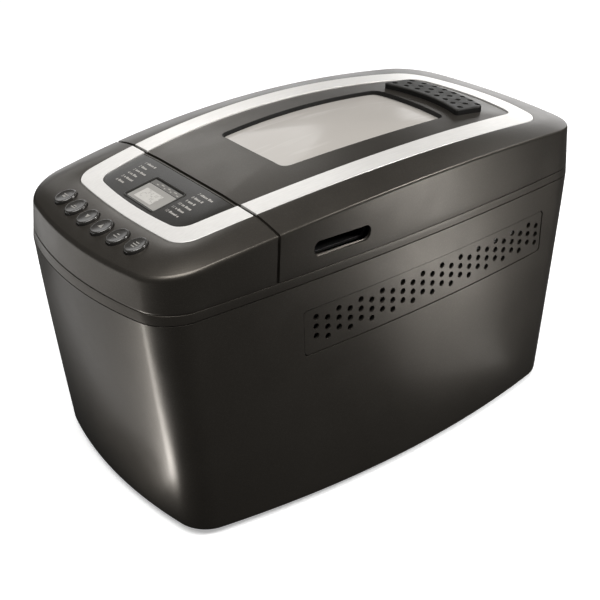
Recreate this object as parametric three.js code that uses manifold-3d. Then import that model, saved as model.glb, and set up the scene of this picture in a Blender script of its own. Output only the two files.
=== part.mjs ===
// A countertop bread machine with its control panel on one end and a domed, hinged lid.
// Units are millimetres. +X runs along the machine, from the control panel (-X) to the lid's
// steam grille (+X). The front long side faces -Y, the hinge side faces +Y, and +Z is up.
// The origin is the middle of the footprint, on the surface that the feet stand on.
import * as THREE from "three";
import { mergeVertices } from "three/addons/utils/BufferGeometryUtils.js";
import Module from "manifold-3d";

const wasm = await Module();
wasm.setup();

// ---------------------------------------------------------------- driving dimensions
const WALL = 2.5; // moulded housing wall
const GAP = 0.35; // clearance between neighbouring pieces
const FLOOR_Z = 5; // underside of the housing, above the feet

// Outlines are rounded rectangles with bowed sides. left and right give each end's corner
// circle as [centre x, centre y, radius], and the bows are the sagittas of the four sides.
const FOOTPRINT = { left: [-152.3, 73, 26.7], right: [152.3, 73, 26.7], side: 14.4, ends: [8, 8] };
const BELT_LINE = { left: [-165, 65.8, 31], right: [165, 65.8, 31], side: 6, ends: [9, 9] };
const CREASE = { left: [-155.5, 59.4, 39], right: [155.5, 59.4, 39], side: 8.8, ends: [5.5, 5.5] };
const TRIM_OUTER = { left: [-143.5, 54.5, 17.5], right: [145, 48, 28], side: 10, ends: [2.5, 9] };
const TRIM_INNER = { left: [-137.5, 42, 13], right: [145, 42, 13], side: 11, ends: [2.5, 5.5] };
const WINDOW = { left: [-49.5, 33.3, 7], right: [90, 33.3, 7], side: 3, ends: [0.5, 3] };
const WINDOW_DEPTH = 1.6; // from the dome down to the pane's seat

// The joint between the lower and upper housings, and the lid's lower edge, rise towards +X.
const SEAM_SLOPE = 0.021;
const SEAM_Z = 179; // at x = 0
const RIM_HEIGHT = 7.2; // from the seam up to the lid's lower edge
const LID_LEFT = -107.2; // the lid's edge beside the control panel

// The crease between the side walls and the top is an arch, and so is the dome above it.
const ARCH = { peakX: 50, peakZ: 230, drop: 16.6, halfLength: 200 };
const DOME = { peakX: 38, peakZ: 227, drop: 17.2, halfLength: 200 };
const DOME_LEVEL = { trimOuter: 7.8, trimInner: 7.6, centre: 10 };
const TRIM_LEVEL = { outer: 8.1, inner: 8.7 };
const DOME_FADE = 0.5; // how much less the dome rises at the ends
// How soon the shoulder flattens above the crease: round at the panel's end, straighter along
// the lid, with the change between two places along X.
const SHOULDER = { panel: 2.1, lid: 1.2, from: -172, over: 52 };
const TRIM_DEPTH = 1.6;

const VENT = { x0: -87, x1: 151.5, rearX1: -3, z: 141, height: 34, slope: 0.0197, corner: 3 };
const VENT_HOLES = {
  columns: 24, rearColumns: 8, rows: 3, first: -77, pitchX: 9.66, pitchZ: 7.2, radius: 2.35, z: 143.6,
};
const BUTTONS = { count: 6, pitch: 19.1, x: -182, bow: 3.5, halfX: 8.2, halfY: 7, proud: 2, slope: 0.25 };
const DISPLAY = { x: -135.7, y: 0, sizeX: 26.5, sizeY: 38, corner: 2, slope: 0.18 };
const FINGER = { x: -56, z: 202, width: 45, height: 9.5, depth: 14 };
const GRILLE = { x0: 105.5, x1: 135, halfWidth: 42, bow: 8, proud: 2.6, hole: 2.4, level: 11 };
const HINGE = { y: 93.5, z: 195, xs: [-70, 95], pin: 2, lug: 3.8, ear: 8, lugWidth: 6 };

const CHAMBER = { x0: -80, x1: 160, halfWidth: 82, floor: 62, top: 177.5, sheet: 1.5, corner: 16 };
const PAN = { x: 40, halfLength: 98, halfWidth: 69, floor: 86, rim: 181, draft: 5, sheet: 1.8, corner: 22 };
const DRIVE = { shaft: 4, pulley: 45, z0: 24, z1: 36 };
const MOTOR = { x: -138, radius: 33, z0: 60, z1: 146, shaft: 3, pulley: 9 };
const HEATER = { z: 94, tube: 3.3, margin: 6.5, corner: 18, exit: 14 };
const BAIL = { x: 107, pivotZ: 174, reach: 62, lift: 10.5, rod: 2.5 };

// ---------------------------------------------------------------- outlines and heights
const SIDE_STEPS = 8;
const END_STEPS = 6;
const CORNER_STEPS = 4;

// Points of an arc from p to q that bulges to the right of its direction, moved out by a radius.
function bowedSide(p, q, bow, r0, r1, steps) {
  const chord = Math.hypot(q[0] - p[0], q[1] - p[1]);
  const radius = (chord * chord / 4 + bow * bow) / (2 * bow);
  const along = [(q[0] - p[0]) / chord, (q[1] - p[1]) / chord];
  const out = [along[1], -along[0]];
  const centre = [0, 1].map((i) => (p[i] + q[i]) / 2 + out[i] * (bow - radius));
  const half = Math.asin(chord / 2 / radius);
  const points = [];
  for (let i = 0; i <= steps; i++) {
    const angle = half * (2 * i / steps - 1);
    const normal = [0, 1].map((k) => out[k] * Math.cos(angle) + along[k] * Math.sin(angle));
    const reach = radius + r0 + (r1 - r0) * i / steps;
    points.push({ at: [0, 1].map((k) => centre[k] + normal[k] * reach), normal });
  }
  return points;
}

// The outline as [x, y] points, anticlockwise from the front left corner, inset by a distance.
function outline({ left, right, side, ends }, inset = 0) {
  const rl = left[2] - inset;
  const rr = right[2] - inset;
  const corners = [
    { at: [left[0], -left[1]], r: rl },
    { at: [right[0], -right[1]], r: rr },
    { at: [right[0], right[1]], r: rr },
    { at: [left[0], left[1]], r: rl },
  ];
  const bows = [side, ends[1], side, ends[0]];
  const steps = [SIDE_STEPS, END_STEPS, SIDE_STEPS, END_STEPS];
  const runs = corners.map((c, i) => {
    const next = corners[(i + 1) % 4];
    return bowedSide(c.at, next.at, bows[i], c.r, next.r, steps[i]);
  });
  const points = [];
  runs.forEach((run, i) => {
    points.push(...run.map((p) => p.at));
    const corner = corners[(i + 1) % 4];
    const from = run.at(-1).normal;
    const to = runs[(i + 1) % 4][0].normal;
    const start = Math.atan2(from[1], from[0]);
    const turn = (Math.atan2(to[1], to[0]) - start + 4 * Math.PI) % (2 * Math.PI);
    for (let k = 1; k < CORNER_STEPS; k++) {
      const a = start + turn * k / CORNER_STEPS;
      points.push([corner.at[0] + corner.r * Math.cos(a), corner.at[1] + corner.r * Math.sin(a)]);
    }
  });
  return points;
}

const lerp = (a, b, t) => a + (b - a) * t;
const between = (a, b, t) => a.map((p, i) => [lerp(p[0], b[i][0], t), lerp(p[1], b[i][1], t)]);
const scaled = (points, cx, s) => points.map(([x, y]) => [cx + (x - cx) * s, y * s]);
const seamZ = (x, above = 0) => SEAM_Z + above + SEAM_SLOPE * x;
const lidZ = (x, above = 0) => seamZ(x, RIM_HEIGHT + above);
const archZ = (arch, x) => arch.peakZ - arch.drop * ((x - arch.peakX) / arch.halfLength) ** 2;
const creaseZ = (x) => archZ(ARCH, x);
const domeZ = (x, level) => archZ(DOME, x) + level * (1 - DOME_FADE * ((x - 20) / DOME.halfLength) ** 2);
const smoothStep = (t) => t * t * (3 - 2 * t);
const shoulderPower = (x) => {
  const along = Math.min(1, Math.max(0, (x - SHOULDER.from) / SHOULDER.over));
  return lerp(SHOULDER.panel, SHOULDER.lid, smoothStep(along));
};
const shoulderRise = (t, x) => 1 - (1 - t) ** shoulderPower(x);
const raise = (points, height) => points.map(([x, y]) => [x, y, height(x, y)]);
const flat = (points, z) => raise(points, () => z);

// ---------------------------------------------------------------- solids
function geometryFrom(vertices, faces) {
  const g = new THREE.BufferGeometry();
  g.setAttribute("position", new THREE.Float32BufferAttribute(vertices.flat(), 3));
  g.setIndex(faces.flat());
  return g;
}

// A skin over rings of equal length, stacked from the bottom up and capped at both ends, or
// joined from the last ring back to the first.
function loft(rings, closed = false) {
  const n = rings[0].length;
  const vertices = rings.flat();
  const faces = [];
  const last = closed ? rings.length : rings.length - 1;
  for (let i = 0; i < last; i++) {
    const a = i * n;
    const b = ((i + 1) % rings.length) * n;
    for (let j = 0; j < n; j++) {
      const k = (j + 1) % n;
      faces.push([a + j, a + k, b + k], [a + j, b + k, b + j]);
    }
  }
  if (!closed) {
    for (const [start, flip] of [[0, true], [(rings.length - 1) * n, false]]) {
      const ring = vertices.slice(start, start + n);
      const middle = [0, 1, 2].map((k) => ring.reduce((sum, p) => sum + p[k], 0) / n);
      const c = vertices.push(middle) - 1;
      for (let j = 0; j < n; j++) {
        const k = (j + 1) % n;
        faces.push(flip ? [c, start + k, start + j] : [c, start + j, start + k]);
      }
    }
  }
  return solid(geometryFrom(vertices, faces));
}

// A three.js geometry as a manifold-3d solid.
function solid(geometry, matrix) {
  const g = geometry.clone();
  g.deleteAttribute("normal");
  g.deleteAttribute("uv");
  if (matrix) g.applyMatrix4(matrix);
  const merged = mergeVertices(g, 1e-4);
  return new wasm.Manifold(new wasm.Mesh({
    numProp: 3,
    vertProperties: merged.attributes.position.array,
    triVerts: new Uint32Array(merged.index.array),
  }));
}

const union = (parts) => parts.reduce((a, b) => a.add(b));
const cut = (part, ...tools) => tools.reduce((a, b) => a.subtract(b), part);
const shift = (x, y, z) => new THREE.Matrix4().makeTranslation(x, y, z);

function box(x0, x1, y0, y1, z0, z1) {
  const g = new THREE.BoxGeometry(x1 - x0, y1 - y0, z1 - z0);
  return solid(g, shift((x0 + x1) / 2, (y0 + y1) / 2, (z0 + z1) / 2));
}

// A box whose lower and upper faces follow heights given as functions of x.
function slopedBox(x0, x1, y0, y1, lower, upper) {
  const corners = [[x0, y0], [x1, y0], [x1, y1], [x0, y1]];
  return loft([raise(corners, lower), raise(corners, upper)]);
}

// A solid of revolution about Z from [radius, z] pairs that start and end on the axis.
function turned(profile, x = 0, y = 0, segments = 24) {
  const points = profile.map(([r, z]) => new THREE.Vector2(r, z));
  const g = new THREE.LatheGeometry(points, segments);
  g.rotateX(Math.PI / 2);
  return solid(g, shift(x, y, 0));
}

const disc = (r, z0, z1, x = 0, y = 0, segments = 24) =>
  turned([[0, z0], [r, z0], [r, z1], [0, z1]], x, y, segments);

// A cylinder along X or Y, centred on a point.
function rod(axis, r, length, at, segments = 16) {
  const g = new THREE.CylinderGeometry(r, r, length, segments);
  if (axis === "x") g.rotateZ(Math.PI / 2);
  return solid(g, shift(...at));
}

function roundedShape(x0, x1, y0, y1, r) {
  const s = new THREE.Shape();
  s.moveTo(x0 + r, y0);
  s.lineTo(x1 - r, y0);
  s.absarc(x1 - r, y0 + r, r, -Math.PI / 2, 0);
  s.lineTo(x1, y1 - r);
  s.absarc(x1 - r, y1 - r, r, 0, Math.PI / 2);
  s.lineTo(x0 + r, y1);
  s.absarc(x0 + r, y1 - r, r, Math.PI / 2, Math.PI);
  s.lineTo(x0, y0 + r);
  s.absarc(x0 + r, y0 + r, r, Math.PI, 1.5 * Math.PI);
  return s;
}

const ringOf = (shape, divisions) =>
  shape.getPoints(divisions).slice(0, -1).map((p) => [p.x, p.y]);

function extruded(shape, depth, curveSegments = 4) {
  return new THREE.ExtrudeGeometry(shape, { depth, bevelEnabled: false, curveSegments });
}

// A rounded box standing on z0.
const roundedBox = (x0, x1, y0, y1, z0, z1, r, curve = 4) =>
  solid(extruded(roundedShape(x0, x1, y0, y1, r), z1 - z0, curve), shift(0, 0, z0));

// A rounded plate in the XZ plane that runs from y0 to y1.
function uprightPlate(x0, x1, z0, z1, y0, y1, r) {
  const g = extruded(roundedShape(x0, x1, z0, z1, r), y1 - y0, 3);
  g.rotateX(Math.PI / 2);
  return solid(g, shift(0, y1, 0));
}

const group = new THREE.Group();
group.name = "bread_machine";

const FINISHES = {
  housing: { color: 0x4a4641, roughness: 0.36, metalness: 0.55 },
  trim: { color: 0xd9d6d1, roughness: 0.32, metalness: 0.7 },
  gloss: { color: 0x2b2926, roughness: 0.18, metalness: 0.1 },
  button: { color: 0x5a5651, roughness: 0.25, metalness: 0.3 },
  glass: { color: 0xb9b4ae, roughness: 0.05, metalness: 0 },
  display: { color: 0xa9aa9c, roughness: 0.3, metalness: 0 },
  black: { color: 0x151413, roughness: 0.6, metalness: 0 },
  steel: { color: 0xb5b5b2, roughness: 0.35, metalness: 0.9 },
  nonstick: { color: 0x3a3a3c, roughness: 0.5, metalness: 0.2 },
  rubber: { color: 0x181818, roughness: 0.9, metalness: 0 },
  board: { color: 0x1f5a36, roughness: 0.5, metalness: 0 },
  brass: { color: 0xb08d4c, roughness: 0.35, metalness: 0.9 },
};

function add(name, part, finish) {
  const out = part.getMesh();
  const g = new THREE.BufferGeometry();
  const vertices = new Float32Array(out.numVert * 3);
  for (let i = 0; i < out.numVert; i++) {
    vertices.set(out.vertProperties.subarray(i * out.numProp, i * out.numProp + 3), i * 3);
  }
  g.setAttribute("position", new THREE.BufferAttribute(vertices, 3));
  g.setIndex(new THREE.BufferAttribute(out.triVerts, 1));
  const mesh = new THREE.Mesh(g, new THREE.MeshStandardMaterial(FINISHES[finish]));
  mesh.name = name;
  group.add(mesh);
}

// ---------------------------------------------------------------- lower housing
// The end walls lean in towards the footprint, more so near the bottom.
function wallOutline(z, inset) {
  const t = Math.min(1, Math.max(0, (z - FLOOR_Z) / (SEAM_Z - FLOOR_Z)));
  return between(outline(BELT_LINE, inset), outline(FOOTPRINT, inset), (1 - t) ** 1.18);
}

const WALL_HEIGHTS = [60, 115];

function lowerBody(inset, foot, top) {
  const rings = foot.map(([z, extra]) => flat(wallOutline(z, inset + extra), z));
  WALL_HEIGHTS.forEach((z) => rings.push(flat(wallOutline(z, inset), z)));
  rings.push(raise(wallOutline(SEAM_Z, inset), (x) => seamZ(x, top)));
  return loft(rings);
}

const ventBox = (x0, x1, grow, y0, y1) => {
  const low = VENT.z - VENT.height / 2 - grow;
  const plate = uprightPlate(x0 - grow, x1 + grow, low, low + VENT.height + 2 * grow, y0, y1, VENT.corner);
  return plate.warp((p) => {
    p[2] += VENT.slope * p[0];
  });
};

function ventHoles(columns, y0, y1) {
  const holes = [];
  for (let i = 0; i < columns; i++) {
    const x = VENT_HOLES.first + i * VENT_HOLES.pitchX;
    const drop = (i % 2) * VENT_HOLES.pitchZ / 2;
    for (let k = 0; k < VENT_HOLES.rows; k++) {
      const z = VENT_HOLES.z + VENT_HOLES.pitchZ * (1 - k) - drop + VENT.slope * x;
      holes.push(rod("y", VENT_HOLES.radius, y1 - y0, [x, (y0 + y1) / 2, z], 6));
    }
  }
  return holes;
}

function lowerHousing() {
  const outer = lowerBody(0, [[FLOOR_Z, 3], [FLOOR_Z + 1, 1.1], [FLOOR_Z + 4, 0]], -GAP / 2);
  const inner = lowerBody(WALL, [[FLOOR_Z - 1, 3.2], [FLOOR_Z + 5, 0]], 3);
  const shell = outer.subtract(inner);
  const bosses = SCREW_SPOTS.map(([x, y]) => {
    const s = Math.sign(y);
    const rib = box(x - 1.5, x + 1.5, Math.min(y, y + 17.4 * s), Math.max(y, y + 17.4 * s), 11, 26);
    return disc(5, 10, 28, x, y, 12).add(rib).subtract(disc(1.95, 9, 22, x, y, 10));
  });
  const cord = roundedBoxThroughBack(CORD_ENTRY, 0.4);
  const front = [VENT.x0, VENT.x1];
  const rear = [VENT.x0, VENT.rearX1];
  const gaps = [ventBox(...front, GAP, -130, -60), ventBox(...rear, GAP, 60, 130)];
  add("lower_housing", cut(union([shell, ...bosses]), cord, ...gaps), "housing");
  const frontPlate = shell.intersect(ventBox(...front, 0, -130, -60));
  add("vent_panel_front", cut(frontPlate, ...ventHoles(VENT_HOLES.columns, -130, -60)), "housing");
  const rearPlate = shell.intersect(ventBox(...rear, 0, 60, 130));
  add("vent_panel_rear", cut(rearPlate, ...ventHoles(VENT_HOLES.rearColumns, 60, 130)), "housing");
}

// ---------------------------------------------------------------- base, feet, cord entry
const SCREW_SPOTS = [[-120, -86], [120, -86], [-120, 86], [120, 86]];
const FOOT_SPOTS = [[-146, -74], [146, -74], [-146, 74], [146, 74]];
const CORD_ENTRY = { x: -128, z: 42, width: 22, height: 14, wallY: 103.4 };

function roundedBoxThroughBack({ x, z, width, height }, grow) {
  return uprightPlate(
    x - width / 2 - grow, x + width / 2 + grow, z - height / 2 - grow, z + height / 2 + grow, 60, 130, 4,
  );
}

function base() {
  const plate = loft([flat(outline(FOOTPRINT, 6.4), 5.4), flat(outline(FOOTPRINT, 6.4), 8.4)]);
  const slots = [];
  for (let i = 0; i < 5; i++) {
    slots.push(roundedBox(-20 + i * 22, -12 + i * 22, -24, 24, 4, 10, 3.9, 1));
  }
  const countersink = [[0, 4], [4.2, 4], [4.2, 6.2], [2, 8], [2, 9.5], [0, 9.5]];
  const screwHoles = SCREW_SPOTS.map(([x, y]) => turned(countersink, x, y, 8));
  const footHoles = FOOT_SPOTS.map(([x, y]) => disc(4.4, 4, 10, x, y, 10));
  add("base_plate", cut(plate, ...slots, ...screwHoles, ...footHoles), "black");
  FOOT_SPOTS.forEach(([x, y], i) => {
    const profile = [
      [0, 0], [8.5, 0], [10, 1.5], [10, 5], [4, 5], [4, 8.8], [5.2, 8.8], [3.2, 11], [0, 11],
    ];
    add(`foot_${i + 1}`, turned(profile, x, y, 12), "rubber");
  });
  SCREW_SPOTS.forEach(([x, y], i) => {
    const profile = [[0, 5.5], [3.8, 5.5], [3.8, 6], [1.6, 7.8], [1.6, 20], [0, 21]];
    add(`base_screw_${i + 1}`, turned(profile, x, y, 10), "steel");
  });
  const { x, z, width, height, wallY } = CORD_ENTRY;
  const gland = uprightPlate(
    x - width / 2, x + width / 2, z - height / 2, z + height / 2, wallY - 6, wallY + 3, 4,
  );
  add("cord_gland", gland.subtract(rod("y", 3.6, 40, [x, wallY, z], 12)), "rubber");
}

// ---------------------------------------------------------------- upper housing and lid shells
// The whole upper shape, from the seam to the crown, inset by a wall thickness.
function upperBody(inset, bottom, shares) {
  const belt = outline(BELT_LINE, inset);
  const crease = outline(CREASE, inset);
  const trimOuter = outline(TRIM_OUTER);
  const trimInner = outline(TRIM_INNER);
  const top = (ring, level) => raise(ring, (x) => domeZ(x, level) - inset);
  const from = raise(crease, (x) => creaseZ(x) - 0.5 - inset);
  const to = top(trimOuter, DOME_LEVEL.trimOuter);
  const shoulder = (t) => from.map((p, i) =>
    [lerp(p[0], to[i][0], t), lerp(p[1], to[i][1], t), lerp(p[2], to[i][2], shoulderRise(t, p[0]))]);
  return loft([
    raise(belt, (x) => seamZ(x, bottom)),
    raise(crease, (x) => creaseZ(x) - 2.2 - inset),
    ...shares.map(shoulder),
    to,
    top(trimInner, DOME_LEVEL.trimInner),
    top(scaled(trimInner, 20, 0.6), lerp(DOME_LEVEL.trimInner, DOME_LEVEL.centre, 0.64)),
    top(scaled(trimInner, 20, 0.2), DOME_LEVEL.centre),
  ]);
}

// The U-shaped bright trim as one closed band, grown by a clearance for its groove.
function trimBand(grow, top) {
  const outer = outline(TRIM_OUTER, -grow);
  const inner = outline(TRIM_INNER, grow);
  const at = (ring, level) => raise(ring, (x) => domeZ(x, level));
  return loft([
    at(outer, TRIM_LEVEL.outer - TRIM_DEPTH - grow),
    at(outer, TRIM_LEVEL.outer + top),
    at(inner, TRIM_LEVEL.inner + top),
    at(inner, TRIM_LEVEL.inner - TRIM_DEPTH - 0.6 - grow),
  ], true);
}

// A slab that follows the dome inside an outline, between two depths below the surface.
function domeSlab(points, depth0, depth1, cx) {
  const level = (s) => lerp(DOME_LEVEL.trimInner, DOME_LEVEL.centre, 1 - s * s);
  const rings = (depth) => [1, 0.6, 0.2].map((s) =>
    raise(scaled(points, cx, s), (x) => domeZ(x, level(s)) - depth));
  return loft([...rings(depth1).reverse(), ...rings(depth0)]);
}

const FAR = 260;
const rightOf = (x) => box(x, FAR, -FAR, FAR, -10, 300);
const leftOf = (x) => box(-FAR, x, -FAR, FAR, -10, 300);
const aboveLid = (above) => slopedBox(-FAR, FAR, -FAR, FAR, (x) => lidZ(x, above), () => 300);
const belowLid = (above) => slopedBox(-FAR, FAR, -FAR, FAR, () => -10, (x) => lidZ(x, above));

const RELIEF = 5; // the rim is stepped down behind the lid, so that its rear edge can swing
const DECK = 3; // thickness of the deck under the lid

function buttonSpot(i) {
  const y = (i - (BUTTONS.count - 1) / 2) * BUTTONS.pitch;
  const x = BUTTONS.x + BUTTONS.bow * (y / 48) ** 2;
  const crease = -(200 - 5.5 * (y / 59) ** 2);
  const trim = -(163.5 - 2.5 * (y / 54) ** 2);
  const rise = shoulderRise((x - crease) / (trim - crease), crease);
  return { x, y, z: lerp(creaseZ(crease) - 0.5, domeZ(trim, DOME_LEVEL.trimOuter), rise) };
}

const tiltBy = (slope) => new THREE.Matrix4().makeRotationY(-Math.atan(slope));

// An elliptical loft from [half size share, extra size, height] rows, tilted like the shoulder.
function tiltedEllipse(spot, rows) {
  const n = 14;
  const rings = rows.map(([share, extra, h]) => {
    const ring = [];
    for (let j = 0; j < n; j++) {
      const a = 2 * Math.PI * j / n;
      ring.push([
        (BUTTONS.halfX * share + extra) * Math.cos(a), (BUTTONS.halfY * share + extra) * Math.sin(a), h,
      ]);
    }
    return ring;
  });
  const place = shift(spot.x, spot.y, spot.z).multiply(tiltBy(BUTTONS.slope));
  const moved = rings.map((ring) => ring.map((p) => new THREE.Vector3(...p).applyMatrix4(place).toArray()));
  return loft(moved);
}

function buttons() {
  for (let i = 0; i < BUTTONS.count; i++) {
    const top = BUTTONS.proud;
    const rows = [[0.62, 0, -11], [0.62, 0, -9.4], [1, 1.2, -9.4], [1, 1.2, -8], [1, 0, -8],
      [1, 0, top - 0.8], [0.93, 0, top], [0.6, 0, top - 0.25]];
    add(`button_${i + 1}`, tiltedEllipse(buttonSpot(i), rows), "button");
  }
}

const hingeLug = (x0, x1) => {
  const post = box(x0, x1, HINGE.y - HINGE.lug, HINGE.y + HINGE.lug, SEAM_Z, HINGE.z);
  return post.add(rod("x", HINGE.lug, x1 - x0, [(x0 + x1) / 2, HINGE.y, HINGE.z]));
};
const hingeBore = () => rod("x", HINGE.pin + 0.3, 2 * FAR, [0, HINGE.y, HINGE.z], 12);

function upperHousing(outer, inner) {
  const whole = outer.intersect(leftOf(LID_LEFT - GAP / 2).add(belowLid(-GAP / 2)));
  const panelSpace = inner.intersect(leftOf(LID_LEFT - GAP / 2 - WALL));
  const rimSpace = inner.intersect(rightOf(LID_LEFT - GAP / 2 - WALL - 1))
    .intersect(belowLid(-GAP / 2 - DECK)).intersect(box(-FAR, FAR, -FAR, 86, -10, 300));
  const c = CHAMBER;
  const opening = roundedBox(
    c.x0 + 2, c.x1 - 2, 2 - c.halfWidth, c.halfWidth - 2, 100, 260, c.corner - 2,
  );
  const step = (x) => lidZ(x, -GAP / 2 - RELIEF);
  const relief = slopedBox(LID_LEFT - GAP / 2, FAR, 86.5, FAR, step, () => 300);
  const lugs = HINGE.xs.flatMap((x) => [-1, 1].map((s) => {
    const near = x + s * (HINGE.ear / 2 + 1);
    const far = near + s * HINGE.lugWidth;
    return hingeLug(Math.min(near, far), Math.max(near, far));
  }));
  let part = cut(whole, panelSpace, rimSpace, opening, relief);
  part = union([part, ...lugs]).subtract(hingeBore().intersect(rightOf(LID_LEFT + 5)));
  const groove = trimBand(GAP, 6).intersect(leftOf(LID_LEFT));
  const holes = [...Array(BUTTONS.count).keys()].map((i) =>
    tiltedEllipse(buttonSpot(i), [[1, 0.4, -8], [1, 0.4, 8]]));
  const fasciaPocket = domeSlab(outline(TRIM_INNER, 0.1), -6, FASCIA + 0.3, 20)
    .intersect(leftOf(LID_LEFT - 2.2));
  const d = DISPLAY;
  const displayHole = roundedBox(
    d.x - d.sizeX / 2 - 2, d.x + d.sizeX / 2 + 2, d.y - d.sizeY / 2 - 2, d.y + d.sizeY / 2 + 2,
    190, 250, 3,
  );
  part = cut(part, groove, ...holes, fasciaPocket, displayHole);
  add("upper_housing", part, "housing");
}

const FASCIA = 1.1;

function panel() {
  const d = DISPLAY;
  const place = (grow) => roundedBox(
    d.x - d.sizeX / 2 - grow, d.x + d.sizeX / 2 + grow,
    d.y - d.sizeY / 2 - grow, d.y + d.sizeY / 2 + grow, 150, 260, d.corner,
  );
  const slab = domeSlab(outline(TRIM_INNER, 0.5), 0, FASCIA, 20).intersect(leftOf(LID_LEFT - 2.6));
  add("panel_fascia", slab.subtract(place(0)), "gloss");
  add("display_lens", domeSlab(outline(TRIM_INNER, 0.5), 0.5, 1.9, 20).intersect(place(-GAP)), "glass");
  const tilt = tiltBy(d.slope);
  const lensZ = domeZ(d.x, DOME_LEVEL.trimInner + 1);
  const module = new THREE.BoxGeometry(d.sizeX + 1, d.sizeY + 1, 4);
  add("display_module", solid(module, shift(d.x, d.y, lensZ - 5).multiply(tilt)), "display");
  const board = new THREE.BoxGeometry(72, 112, 1.6);
  const boardAt = shift(-152, 0, domeZ(-152, 7) - 15.4).multiply(tilt);
  const switches = [...Array(BUTTONS.count).keys()].map((i) => {
    const spot = buttonSpot(i);
    const cap = new THREE.BoxGeometry(6, 6, 2.6);
    return solid(cap, shift(spot.x + 3.4, spot.y, spot.z - 14).multiply(tilt));
  });
  add("control_board", union([solid(board, boardAt), ...switches]), "board");
  add("panel_trim", trimBand(0, 0).intersect(leftOf(LID_LEFT - GAP / 2)), "trim");
}

// ---------------------------------------------------------------- lid
function grilleOutline(grow) {
  const { x0, x1, halfWidth, bow } = GRILLE;
  const side = (x, sign) => {
    const run = [];
    for (let i = 0; i <= 10; i++) {
      const y = sign * (halfWidth + grow - 3) * (2 * i / 10 - 1);
      run.push([x + bow * (1 - (y / halfWidth) ** 2), y]);
    }
    return run;
  };
  const right = side(x1 + grow, 1);
  const left = side(x0 - grow, -1);
  const y = halfWidth + grow;
  const endRight = x1 + grow + bow * (1 - (y / halfWidth) ** 2);
  const endLeft = x0 - grow + bow * (1 - (y / halfWidth) ** 2);
  return [...right, [endRight - 3, y], [endLeft + 3, y], ...left, [endLeft + 3, -y], [endRight - 3, -y]];
}

function grillePlate(points, below, above) {
  const top = (depth) => raise(points, (x) => domeZ(x, GRILLE.level) + depth);
  return loft([top(below), top(above)]);
}

function grilleHoles() {
  const holes = [];
  for (let c = 0; c < 3; c++) {
    const count = 8 - (c % 2);
    for (let i = 0; i < count; i++) {
      const y = (i - (count - 1) / 2) * 10.6;
      const x = GRILLE.x0 + 7.2 + c * 9.6 + GRILLE.bow * (1 - (y / GRILLE.halfWidth) ** 2);
      holes.push(disc(GRILLE.hole, 200, 260, x, y, 6));
    }
  }
  return holes;
}

function lid(outer, inner) {
  const edge = LID_LEFT + GAP / 2;
  const whole = outer.intersect(rightOf(edge)).intersect(aboveLid(GAP / 2));
  const space = inner.intersect(rightOf(edge + WALL));
  const rearCut = slopedBox(-FAR, FAR, 86.5, FAR, () => 100, (x) => lidZ(x, 3));
  const notches = HINGE.xs.map((x) => box(x - 12.5, x + 12.5, 86.5, FAR, 100, HINGE.z + 5));
  const ears = HINGE.xs.map((x) => {
    const half = HINGE.ear / 2;
    const arm = box(x - half, x + half, HINGE.y - 4, HINGE.y + 6, HINGE.z, HINGE.z + 8)
      .add(box(x - half, x + half, HINGE.y - 4, HINGE.y + 11, HINGE.z + 6, HINGE.z + 26));
    return arm.intersect(outer).add(rod("x", 4, HINGE.ear, [x, HINGE.y, HINGE.z]));
  });
  const windowWall = (points) => domeSlab(points, -4, WINDOW_DEPTH + 2, 20);
  const well = domeSlab(outline(WINDOW, -2.4), 0.5, WINDOW_DEPTH, 20);
  const pocket = fingerSlot(0, -FAR, -80);
  const grilleOpening = loft([flat(grilleOutline(-5), 190), flat(grilleOutline(-5), 260)]);
  let part = cut(whole, space, rearCut, ...notches).add(well);
  part = cut(part, windowWall(outline(WINDOW)), pocket, trimBand(GAP, 6), grilleOpening);
  part = union([part, ...ears]).subtract(hingeBore());
  add("lid_cover", part, "housing");

  add("lid_trim", trimBand(0, 0).intersect(rightOf(edge)), "trim");
  add("lid_window", domeSlab(outline(WINDOW, -3), WINDOW_DEPTH + 2 * GAP, WINDOW_DEPTH + 3, 20), "glass");
  const plate = grillePlate(grilleOutline(0), -6, GRILLE.proud).subtract(outer.translate(0, 0, GAP));
  const spigot = grillePlate(grilleOutline(-5 - GAP), -4.5, GAP + 1);
  add("lid_grille", cut(plate.add(spigot), ...grilleHoles()), "black");
  fingerCup();
  liner();
}

function fingerSlot(grow, y0, y1) {
  const { x, z, width, height } = FINGER;
  return uprightPlate(
    x - width / 2 - grow, x + width / 2 + grow, z - height / 2 - grow, z + height / 2 + grow,
    y0, y1, 4.2 + grow,
  );
}

function fingerCup() {
  const front = wallFront(FINGER.x) + WALL + 2 * GAP;
  const back = front + FINGER.depth;
  const body = fingerSlot(1.8, front, back);
  add("finger_cup", body.subtract(fingerSlot(0, front - 5, back - 1.8)), "black");
}

// The lid's front wall at a given x, on its outside.
function wallFront(x) {
  const ring = outline(BELT_LINE);
  const near = ring.filter((p) => p[1] < 0).sort((a, b) => Math.abs(a[0] - x) - Math.abs(b[0] - x));
  return near[0][1];
}

const TRAY = 26; // how far the liner rises inside the lid

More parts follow.
